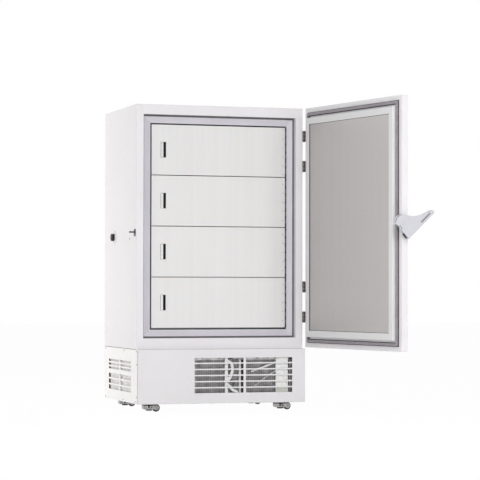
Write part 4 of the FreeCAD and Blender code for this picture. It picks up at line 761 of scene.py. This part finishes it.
softened("base_panel_back", "rear_cover", 0.0004, "base_sheet", side_paint)
sides = (("left", -1), ("right", 1))
for side, sx in sides:
    screws("side_cover_screws_" + side, [(sx * wall_x, y, z) for y, z in cover_places], (sx, 0, 0),
           cover_screw, "cabinet", "base_sheet", dark_screw)
# Dark strips under the casing and along the front cover's side return: painted shadow lines.
for side, sx in sides:
    x0, x1 = sorted((sx * shadow_line_inner, sx * shadow_line_outer))
    shadow_lines = [((x0, y0, z0), (x1, y1, z1)) for (y0, z0), (y1, z1) in shadow_line_runs]
    settle(solid("cover_seals_" + side, shadow_lines, 0.0003), "cabinet", "seal_rubber", recess_rubber)
for side, sx in sides:
    pleat = solid("pleat", [((0, 0, mat_low), (mat_depth, pleat_wide, mat_high))], 0.0014)
    start = (sx * (louvre_back - mat_depth / 2) - mat_depth / 2, mat_start, 0)
    row_of("filter_mat_" + side, pleat, start, (0, pleat_pitch, 0), pleats, "cabinet", "base_sheet",
           filter_white)
rear_y, rear_edge, rear_inner, rear_joint, rear_top = 0.417, 0.545, 0.18, 0.43, 1.95
rear_places = [(x, rear_y, z) for x in (-0.54, -rear_inner, rear_inner, 0.54) for z in (0.075, 0.390)]
rear_places += [(x, rear_y, z) for x in (-rear_edge, rear_edge)
                for z in (rear_joint, 0.80, 1.20, 1.60, rear_top)]
rear_places += [(x, rear_y, z) for x in (-rear_inner, rear_inner) for z in (rear_joint, rear_top)]
screws("rear_screws", rear_places, (0, 1, 0), cover_screw, "cabinet", "white_sheet", dark_screw)


# Condenser: aluminium fins in two depths on copper tubes, in a plated frame just behind the
# grille. A flange with clips closes it at the top, and a few end fins stand past the frame.

def bare_aluminium(name, colour):
    """Rolled metal as it comes, a little stained."""
    return clouded(name, colour, 0.4, 0.72, (25.0, 4.0), (90.0, 0.08, 0.12), (200.0, 0.1, 0.0001), 0.9)


coil_low, coil_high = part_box("condenser_coil")
coil_left, coil_face, coil_foot = coil_low
coil_back, coil_top = coil_high.y, coil_high.z
fin_metal = bare_aluminium("fin_aluminium", (0.80, 0.78, 0.78))
fin_left, fin_right, fin_pitch = coil_left + 0.004, 0.456, 0.0150
fin_foot, fin_head, fin_back = coil_foot + 0.012, coil_top - 0.008, coil_back - 0.003
fin = solid("fin", [((0, coil_face + 0.003, fin_foot), (0.0028, fin_back, fin_head)),
                    ((0.0075, coil_face + 0.007, fin_foot), (0.0097, fin_back, fin_head))])
row_of("condenser_fins", fin, (fin_left, 0, 0), (fin_pitch, 0, 0), int((fin_right - fin_left) / fin_pitch),
       "cabinet", "coil", fin_metal, "condenser_coil")
copper = bare_aluminium("copper_tube", (0.30, 0.24, 0.21))
tube_radius, tube_pitch, tube_rows = 0.0048, 0.0265, 11
tube_ends = (fin_left - 0.004, fin_right + 0.006)
tube = lathe("tube", [(0, tube_ends[0]), (tube_radius, tube_ends[0]), (tube_radius, tube_ends[1]),
                      (0, tube_ends[1])],
             (1, 0, 0), (0, coil_back - 0.009, 0), 12)
row_of("condenser_tubes", tube, (0, 0, coil_foot + 0.030), (0, 0, tube_pitch), tube_rows, "cabinet", "coil",
       copper)
plate_left, plate_right = fin_right + 0.002, fin_right + 0.004
frame_bars = [((coil_left, coil_face, coil_foot), (coil_left + 0.002, coil_back, coil_top)),
              ((plate_left, coil_face, coil_foot), (plate_right, coil_back, coil_top)),
              ((coil_left, coil_face, coil_top - 0.006), (plate_right, coil_back, coil_top)),
              ((coil_left, coil_face, coil_foot), (plate_right, coil_back, coil_foot + 0.010))]
settle(solid("condenser_frame", frame_bars, 0.0004), "cabinet", "coil", zinc)
end_fin = solid("end_fin", [((0, coil_face + 0.001, fin_foot), (0.0038, fin_back, 0.3340))])
row_of("condenser_end_fins", end_fin, (fin_right + 0.006, 0, 0), (0.0052, 0, 0), 5, "cabinet", "coil",
       fin_metal)
flange_metal = bare_aluminium("flange_aluminium", (0.66, 0.65, 0.66))
flange_front, flange_back, flange_low = coil_face - 0.0008, coil_face + 0.0032, 0.3345
flange_spans = ((coil_left, 0.0175), (0.0405, 0.3625), (0.4475, fin_right))
head_flange = solid("condenser_head_flange", [((left, flange_front, flange_low),
                                               (right, flange_back, coil_top))
                                              for left, right in flange_spans], 0.0003)
settle(head_flange, "cabinet", "coil", flange_metal)
clip_places = [(x, flange_front, 0.3475) for x in (-0.130, -0.016, 0.236, 0.248, 0.313)]
screws("condenser_clips", clip_places, (0, -1, 0), 0.0055, "cabinet", "coil", dark_screw)


# Machinery: fan shroud, motor and fan, two hermetic compressors in black enamel, the control
# box, and the inlet in the rear cover.

def enamel(name, colour):
    """Thick glossy stoving enamel."""
    return clouded(name, colour, 0.25, 0.7, (8.0,), (50.0, 0.05, 0.11), (350.0, 0.12, 0.0002))


black_enamel = enamel("black_enamel", (0.03, 0.03, 0.032))
fan_black = moulding("fan_plastic", (0.03, 0.03, 0.035), 0.45)
box_grey = moulding("control_box_grey", (0.62, 0.63, 0.64), 0.5)
inlet_black = moulding("inlet_black", (0.02, 0.02, 0.02), 0.4)
softened("fan_shroud", "shroud", 0.0004, "zinc_sheet", zinc)
softened("fan_motor", "motor", 0.0010, "black_steel", black_enamel)
softened("fan_blades", "fan", 0.0006, "fan_plastic", fan_black)
softened("compressor_first_stage", "compressor_front", 0.0030, "black_steel", black_enamel)
softened("compressor_second_stage", "compressor_rear", 0.0030, "black_steel", black_enamel)
softened("electrical_box", "control_box", 0.0015, "box_plastic", box_grey)
softened("power_inlet", "inlet", 0.0006, "inlet_plastic", inlet_black)


# Behind the grille: a white control unit and a duct for wires on the front of the coil, both
# moulded boxes, with the crumpled sleeves of the loom, two thin tubes and a foam strip.

def crumpled_film(name, colour):
    """Soft plastic film, drawn into shallow creases. The hollows of the creases are darker: painted shade.
    """
    made, tree, shader, mapping = new_finish(name, colour, 0.42, 0.0, (1.0, 1.0, 1.8))
    crease_height_and_shade = cloud(tree, mapping, 34.0, 3.0, 0.30, 0.70)
    # The colour darkens where the creases are low: painted shade in their hollows.
    tint(tree, shader, crease_height_and_shade, [c * 0.82 for c in colour], colour)
    rough(tree, shader, cloud(tree, mapping, 70.0), 0.34, 0.52)
    relief(tree, shader, crease_height_and_shade, 0.8, 0.004)
    return made


film_white = crumpled_film("sleeve_film", (0.90, 0.90, 0.89))
loom_white = moulding("loom_white", (0.82, 0.82, 0.81), 0.45)
unit_grey = moulding("unit_grey", (0.56, 0.57, 0.52), 0.5)
foam_black = rubber("foam_strip_black", (0.05, 0.05, 0.05), 0.9)
hose_grey = rubber("hose_grey", (0.16, 0.155, 0.16), 0.6)
softened("control_unit", "control_box_front", 0.0012, "box_plastic", film_white, 3)
softened("wire_duct", "wire_channel", 0.0010, "box_plastic", loom_white, 3)
unit_foot = solid("control_box_foot", [((0.3622, -0.4641, 0.1110), (0.4478, -0.4434, 0.1510))], 0.002, 3)
settle(unit_foot, "cabinet", "box_plastic", unit_grey)
strip_foot, strip_head, strip_back = 0.066, 0.334, coil_face + 0.003
edge_block = ((0.1165, coil_face - 0.006, strip_foot), (0.1295, strip_back, strip_head))
foam_block = ((0.1300, coil_face - 0.010, strip_foot), (0.1500, strip_back, strip_head))
settle(solid("coil_edge_strip", [edge_block], 0.001), "cabinet", "box_plastic", loom_white)
settle(solid("coil_foam_strip", [foam_block], 0.002), "cabinet", "seal_rubber", foam_black)


def loom(name, runs, radius):
    """Sleeved wires, each a smooth line through its points."""
    curve = bpy.data.curves.new(name, "CURVE")
    curve.dimensions = "3D"
    curve.bevel_depth = radius
    curve.bevel_resolution = 4
    curve.resolution_u = 10
    curve.use_fill_caps = True
    for run in runs:
        line = curve.splines.new("NURBS")
        line.points.add(len(run) - 1)
        for point, place in zip(line.points, run):
            point.co = (*place, 1)
        line.order_u = 3
        line.use_endpoint_u = True
    return placed(name, curve)


def creased(piece, size, reach):
    """Pushes a mesh in and out at random, the same way each time."""
    noise.seed_set(1)
    for vertex in piece.data.vertices:
        push = noise.noise_vector(vertex.co / size)
        vertex.co += push * reach


wire_y = -0.4590
sleeve_runs = [[(0.030, wire_y, 0.326), (0.058, wire_y, 0.322), (0.070, wire_y, 0.290),
                (0.066, wire_y, 0.250), (0.050, wire_y, 0.214), (0.034, wire_y, 0.196)],
               [(0.030, wire_y, 0.178), (0.046, wire_y, 0.168), (0.064, wire_y, 0.146),
                (0.088, wire_y, 0.130), (0.104, wire_y, 0.126)]]
hose_runs = [[(0.041, wire_y, 0.338), (0.062, wire_y, 0.346), (0.084, wire_y, 0.330),
              (0.110, wire_y, 0.340)],
             [(0.070, wire_y, 0.210), (0.082, wire_y, 0.190), (0.076, wire_y, 0.160),
              (0.092, wire_y, 0.150)]]
tube_run = [(0.196, -0.4535, 0.257), (0.260, -0.4560, 0.280), (0.320, -0.4600, 0.302),
            (0.364, -0.4600, 0.318)]
wire_run = [(0.222, -0.4500, 0.165), (0.262, -0.4520, 0.196), (0.310, -0.4560, 0.232),
            (0.364, -0.4600, 0.262)]
sleeves = settle(loom("wire_sleeves", sleeve_runs, 0.0105), "cabinet", "box_plastic", film_white)
creased(sleeves, 0.016, 0.0022)
settle(loom("dark_hoses", hose_runs, 0.0042), "cabinet", "seal_rubber", hose_grey)
settle(loom("sensor_tube", [tube_run], 0.0062), "cabinet", "box_plastic", loom_white)
settle(loom("sensor_wire", [wire_run], 0.0024), "cabinet", "box_plastic", loom_white)


# Outer door: a painted steel shell filled with foam. Its inner side is a white moulded liner
# that stands proud as a plug, with a sheet of fine-brushed metal let into its middle. A dark
# strip in the gap round the sheet is painted shade, wider on the hinge side, where it paints
# the shadow of the plug's step.

door_paint = powder_coat("door_powder_coat", (0.80, 0.785, 0.80))
softened("door_shell", "door_skin", 0.0008, "white_sheet", door_paint)
liner_plastic = moulding("door_liner_plastic", (0.74, 0.735, 0.74), 0.34, 0.98)
softened("door_liner", "door_liner_moulding", 0.0012, "liner_plastic", liner_plastic, 3)
panel_metal = brushed_stainless("door_panel_metal", (0.60, 0.578, 0.57), 0.44, (60.0, 60.0, 1.4), 0.985, 0.8)
softened("door_panel", "door_sheet", 0.0006, "door_stainless", panel_metal)
# Dark grey for the strip in the gap round the door's metal sheet: painted shade.
seam_shade_dark = rubber("panel_seam_rubber", (0.13, 0.125, 0.12), 0.7)
seam_half, seam_low, seam_high, seam_floor, seam_top = 0.4629, 0.5226, 1.8644, -0.4042, -0.4024
seam = border("seam", seam_half, seam_low, seam_high,
              [(0.0, seam_floor), (0.0, seam_top), (0.0012, seam_top + 0.0004), (0.0024, seam_top),
               (0.0029, seam_floor)])
# On the hinge side the strip is wider: painted shadow of the plug's step.
hinge_step_shadow = solid("bead", [((0.4590, seam_floor, 0.5200), (0.4665, -0.3998, 1.8670))])
settle(opened(joined("door_sheet_seam", [seam, hinge_step_shadow])), "outer_door", "seal_rubber", seam_shade_dark)


# Door gasket: an extruded bellows of soft grey-purple rubber with a magnet bar, pushed into a
# groove round the plug. Its ribs run all the way round and are mitred at the corners.

gasket_rubber = rubber("gasket_rubber", (0.34, 0.315, 0.34), 0.6)
foot_rubber_dark = rubber("gasket_foot_rubber", (0.10, 0.085, 0.10), 0.7)
gasket_half, gasket_low, gasket_high = 0.532, 0.442, 1.945
g0, g1 = -0.430, -0.4173
foot_profile = [(0.0, g0), (0.0, g0 + 0.0016), (0.0008, g0 + 0.0022), (0.0252, g0 + 0.0022),
                (0.0260, g0 + 0.0016), (0.0260, g0)]
gasket_foot = border("gasket_foot", gasket_half, gasket_low, gasket_high, foot_profile)
settle(opened(gasket_foot), "outer_door", "gasket_rubber", foot_rubber_dark)
gasket_profile = [(0.0082, g0 + 0.0020), (0.0070, g0 + 0.0040), (0.0082, g0 + 0.0060), (0.0066, g0 + 0.0080),
                  (0.0046, g0 + 0.0098), (0.0046, g1 - 0.0008), (0.0056, g1), (0.0124, g1),
                  (0.0130, g1 - 0.0007), (0.0136, g1), (0.0204, g1), (0.0214, g1 - 0.0008),
                  (0.0214, g0 + 0.0098), (0.0194, g0 + 0.0080), (0.0178, g0 + 0.0060), (0.0190, g0 + 0.0040),
                  (0.0178, g0 + 0.0020)]
gasket = border("gasket_bellows", gasket_half, gasket_low, gasket_high, gasket_profile)
settle(opened(gasket), "outer_door", "gasket_rubber", gasket_rubber, "door_gasket")


# Latch: a cast lever on the free edge of the door, painted silver-white. Its hub turns on a
# pivot, a hook inside it takes the striker, and the grip ends in a rounded bar. Two black
# screws are let into it. Black strips paint the shade in the hook's opening and in the seam
# round the hub, and a grey strip paints the shade on the floor of the grip's slot.

latch_paint = powder_coat("latch_paint", (0.595, 0.595, 0.635), 0.38, 0.96)
softened("latch_base", "latch_bracket", 0.0010, "latch_metal", latch_paint)
coat("latch_pivot", latch_paint)
softened("latch_handle", "latch_lever", 0.0016, "latch_metal", latch_paint, 3)
latch_body = frame_body("latch_handle")
pivot_y, pivot_z = -0.417, 1.187
lever_face = -0.6055
edge_forward, edge_up = -0.057, 0.002


def lever_spot(along, inward):
    """A point by the lever's straight rear edge: how far down it, and how far inside it."""
    slope = math.sqrt(0.5)
    forward = edge_forward + (along + inward) * slope
    up = edge_up + (inward - along) * slope
    return pivot_y - forward, pivot_z + up


def strip_on_lever(name, corners, low, high, finish):
    """A flat strip on the lever, drawn by its corners in the lever's own plane."""
    mesh = bmesh.new()
    rings = [[mesh.verts.new((x, y, z)) for y, z in corners] for x in (low, high)]
    mesh.faces.new(rings[0])
    mesh.faces.new(rings[1][::-1])
    for index in range(len(corners)):
        follow = (index + 1) % len(corners)
        mesh.faces.new((rings[0][index], rings[1][index], rings[1][follow], rings[0][follow]))
    bmesh.ops.recalc_face_normals(mesh, faces=mesh.faces)
    settle(opened(modelled(name, mesh)), latch_body, "latch_metal", finish)


# Black for the two screws, and as painted shade in the hook's opening and the hub's seam.
lever_black = moulding("lever_black", (0.03, 0.03, 0.035), 0.5)
slot_shade_grey = rubber("grip_inlay_grey", (0.26, 0.26, 0.29), 0.6)
screw_places = [open_point((lever_face, *lever_spot(along, 0.009))) for along in (0.030, 0.047)]
screws("lever_screws", screw_places, door_turn @ Vector(leftward), 0.0040, latch_body, "latch_metal",
       lever_black)
# The hook's opening is dark with shade: a black strip paints it.
hook_shade_top, hook_shade_foot, hook_shade_rear, hook_shade_front = 0.084, 0.124, 0.0015, 0.0045
hook_shade_corners = ((hook_shade_top, hook_shade_rear), (hook_shade_foot, hook_shade_rear), (hook_shade_foot, hook_shade_front),
                (hook_shade_top, hook_shade_front))
strip_on_lever("hook_cover", [lever_spot(*corner) for corner in hook_shade_corners], -0.600, -0.573, lever_black)
# The seam round the hub: a black strip paints the shade in its groove.
hub_outer, hub_inner = 0.0576, 0.0560
hub_arc = [math.radians(84 + 6 * index) for index in range(16)]
hub_corners = [(pivot_y - radius * math.cos(angle), pivot_z + radius * math.sin(angle))
               for radius, way in ((hub_outer, 1), (hub_inner, -1)) for angle in hub_arc[::way]]
strip_on_lever("hub_seam", hub_corners, -0.5992, -0.5952, lever_black)
chin, heel = Vector((pivot_y - 0.218, pivot_z + 0.067)), Vector((pivot_y - 0.0358, pivot_z - 0.0908))
grip_run = (heel - chin).normalized()
grip_in = Vector((-grip_run.y, grip_run.x))
# A grey strip on the floor of the grip's slot paints its shade.
slot_shade_top, slot_shade_foot, slot_shade_outer, slot_shade_inner = 0.0175, 0.1045, 0.0135, 0.0235
grip_corners = [tuple(chin + grip_run * along + grip_in * inward)
                for along, inward in ((slot_shade_top, slot_shade_outer), (slot_shade_foot, slot_shade_outer),
                                      (slot_shade_foot, slot_shade_inner), (slot_shade_top, slot_shade_inner))]
strip_on_lever("grip_inlay", grip_corners, -0.6050, -0.6030, slot_shade_grey)


# Levelling castors: a top plate, a grey cast body that swivels under it, a black nylon wheel
# on a fixed axle with bright bolts, and a screw foot with a hexagon for a spanner. The plate
# and a band round the body's upper part are near-black: painted shadow under the base.

def cast_metal(name, colour):
    """Die-cast metal with a coarse skin."""
    return clouded(name, colour, 0.5, 0.82, (30.0,), (90.0, 0.08, 0.1), (500.0, 4.0, 0.3, 0.0003), 0.35)


def sliced(piece, outline, start, depth):
    """Takes a shape drawn in the upright plane out of a finished piece."""
    x, y, z = start
    mesh = bmesh.new()
    face = mesh.faces.new([mesh.verts.new((x + dx, y, z + dz)) for dx, dz in outline])
    pulled = bmesh.ops.extrude_face_region(mesh, geom=[face])["geom"]
    bmesh.ops.translate(mesh, vec=(0, depth, 0),
                        verts=[v for v in pulled if isinstance(v, bmesh.types.BMVert)])
    bmesh.ops.recalc_face_normals(mesh, faces=mesh.faces)
    cut_away(piece, modelled("slice", mesh))


castor_bolt = satin_nickel("castor_bolt", (0.42, 0.41, 0.40), 0.35)
castor_grey = cast_metal("castor_grey", (0.68, 0.655, 0.645))
# Near-black for the top plates and the band round each body's upper part: painted shadow under the base.
shadow_band_dark = cast_metal("castor_race_dark", (0.06, 0.05, 0.05))
wheel_nylon = moulding("wheel_nylon", (0.012, 0.012, 0.012), 0.38, 0.8)
foot_rubber = rubber("foot_rubber", (0.02, 0.02, 0.02), 0.7)
castor_x, castor_front, castor_rear = 0.446, -0.307, 0.313
trail, wheel_radius, wheel_half, cheek_radius = 0.046, 0.025, 0.011, 0.0165
shadow_band_length, shadow_band_half, shadow_band_low, shadow_band_top = 0.0424, 0.0234, 0.0405, 0.0470
bolt_profile = [(0.0062, 0.0225), (0.0062, 0.0248), (0.0050, 0.0262), (0, 0.0262)]
cheek_cut = [(cheek_radius * math.cos(math.radians(angle)), cheek_radius * math.sin(math.radians(angle)))
             for angle in range(90, -1, -10)]
cheek_cut += [(cheek_radius, -0.03), (0.03, -0.03), (0.03, 0.04), (0, 0.04)]
bore, rim, dish = 0.00405, wheel_radius - 0.0002, wheel_half - 0.0012
near_side = [(bore, -wheel_half), (0.0085, -wheel_half), (0.0095, -dish), (0.0170, -dish),
             (0.0185, -wheel_half), (rim - 0.0030, -wheel_half), (rim - 0.0008, -dish),
             (rim, 0.0035 - wheel_half)]
wheel_profile = near_side + [(radius, -along) for radius, along in near_side[::-1]] + near_side[:1]
softened("castor_plates", "castor_top_plates", 0.0006, "zinc_sheet", shadow_band_dark)
for end, y in (("front", castor_front), ("rear", castor_rear)):
    for side, x in (("left", -castor_x), ("right", castor_x)):
        corner = end + "_" + side
        axle = (x + trail, y, wheel_radius)
        case = softened("castor_body_" + corner, "castor_case_" + corner, 0.0012, "castor_metal",
                        castor_grey)
        swivel = frame_body("castor_body_" + corner)
        # A near-black band round the upper part of the body paints the shadow under the plate.
        band = solid("castor_race_" + corner, [((x - shadow_band_length, y - shadow_band_half, shadow_band_low),
                                                (x + trail - 0.001, y + shadow_band_half, shadow_band_top))], 0.0006)
        settle(band, swivel, "castor_metal", shadow_band_dark)
        bolts = joined("axle_bolt_" + corner,
                       [lathe("bolt", bolt_profile, (0, way, 0), axle, 20) for way in (-1, 1)])
        settle(bolts, swivel, "castor_metal", castor_bolt)
        sliced(case, cheek_cut, (x + trail, y - 0.03, wheel_radius), 0.06)
        tyre = lathe("wheel_" + corner, wheel_profile, (0, 1, 0), axle, 56)
        settle(tyre, "wheel_" + corner, "wheel_nylon", wheel_nylon, "castor_wheel_" + corner)
        softened("castor_foot_" + corner, "foot_" + corner, 0.0008, "foot_rubber", foot_rubber)


# Studio: a plain pale floor that keeps the freezer's shadow, and a white surround. Soft lamps
# stand over the floor, in front and on the left, and a narrow bright panel at the right shows
# in the metal.

def studio_floor():
    """Matt white to the lamps, and close to white to the camera and in reflections."""
    made = bpy.data.materials.new("studio_floor")
    made.use_nodes = True
    tree = made.node_tree
    tree.nodes.clear()
    matt = step(tree, "ShaderNodeBsdfDiffuse", {"Color": (0.96, 0.96, 0.96, 1)})
    glow = step(tree, "ShaderNodeEmission", {"Strength": 1.0})
    path = tree.nodes.new("ShaderNodeLightPath").outputs
    seen = step(tree, "ShaderNodeMath", {0: path["Is Camera Ray"], 1: path["Is Glossy Ray"]},
                operation="MAXIMUM")
    share = step(tree, "ShaderNodeMath", {0: seen.outputs[0], 1: 0.97}, operation="MULTIPLY")
    mix = step(tree, "ShaderNodeMixShader", {0: share.outputs[0], 1: matt.outputs[0], 2: glow.outputs[0]})
    step(tree, "ShaderNodeOutputMaterial", {"Surface": mix.outputs[0]})
    return made


floor_mesh = bpy.data.meshes.new("floor")
floor_mesh.from_pydata([(-30, -30, 0), (30, -30, 0), (30, 30, 0), (-30, 30, 0)], [], [(0, 1, 2, 3)])
floor_mesh.materials.append(studio_floor())
floor = placed("floor", floor_mesh)
floor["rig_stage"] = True

world = bpy.data.worlds.new("surround")
bpy.context.scene.world = world
world.use_nodes = True
sky = world.node_tree
sky_glow = sky.nodes["Background"]
sky_glow.inputs["Color"].default_value = (1, 1, 1, 1)
rays = sky.nodes.new("ShaderNodeLightPath").outputs
either = step(sky, "ShaderNodeMath", {0: rays["Is Camera Ray"], 1: rays["Is Transmission Ray"]},
              operation="MAXIMUM")
heading = sky.nodes.new("ShaderNodeTexCoord")
split = step(sky, "ShaderNodeSeparateXYZ", {0: heading.outputs["Generated"]})
height = step(sky, "ShaderNodeMapRange", {"Value": split.outputs["Z"], "From Max": 0.7, "To Min": 0.85,
                                          "To Max": 0.42})
studio_side = step(sky, "ShaderNodeMapRange", {"Value": split.outputs["Y"], "From Min": -0.35,
                                               "From Max": 0.05, "To Min": 0.76})
mirrored = step(sky, "ShaderNodeMix", {"Factor": rays["Is Glossy Ray"], "A": height.outputs["Result"],
                                       "B": studio_side.outputs["Result"]})
strength = step(sky, "ShaderNodeMix", {"Factor": either.outputs[0], "A": mirrored.outputs["Result"],
                                       "B": 1.0})
sky.links.new(strength.outputs["Result"], sky_glow.inputs["Strength"])


def softbox(name, place, target, size, power, colour=(1, 1, 1), mirrored=False):
    """A rectangular soft lamp that the camera doesn't see. Metal shows it if it is mirrored."""
    lamp = bpy.data.lights.new(name, "AREA")
    lamp.shape = "RECTANGLE"
    lamp.size, lamp.size_y = size
    lamp.energy = power
    lamp.color = colour
    holder = placed(name, lamp)
    holder.location = place
    holder.rotation_euler = (Vector(target) - Vector(place)).to_track_quat("-Z", "Y").to_euler()
    holder.visible_camera = False
    holder.visible_glossy = mirrored


softbox("floor_box", (-0.3, -4.8, 3.5), (-0.3, -4.6, 0), (3.0, 2.0), 150)
softbox("front_box", (-2.2, -7.5, 1.2), (0, 0, 1.1), (4.0, 3.0), 30)
softbox("right_panel", (2.75, -7.6, 1.1), (0, -0.4, 1.1), (1.1, 4.0), 10, mirrored=True)
softbox("side_box", (-3.6, 3.3, 1.1), (-0.56, 0, 1.1), (2.0, 2.0), 103, (1.0, 0.975, 0.955))


# Camera: a long lens, low in front of the freezer and to its left, turned and tilted a little
# as in the photograph.

lens = bpy.data.cameras.new("camera")
lens.lens = 151.13
lens.sensor_width = 36.0
lens.clip_end = 100.0
camera = placed("camera", lens)
camera_place = (-3.8321, -12.8720, 0.8024)
yaw, pitch, roll = math.radians(-17.6569), math.radians(1.3456), math.radians(0.1055)
camera.matrix_world = (Matrix.Translation(camera_place) @ Matrix.Rotation(yaw, 4, "Z")
                       @ Matrix.Rotation(math.pi / 2 + pitch, 4, "X") @ Matrix.Rotation(roll, 4, "Z"))
bpy.context.scene.camera = camera
bpy.context.scene.view_settings.view_transform = "Standard"

low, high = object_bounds()
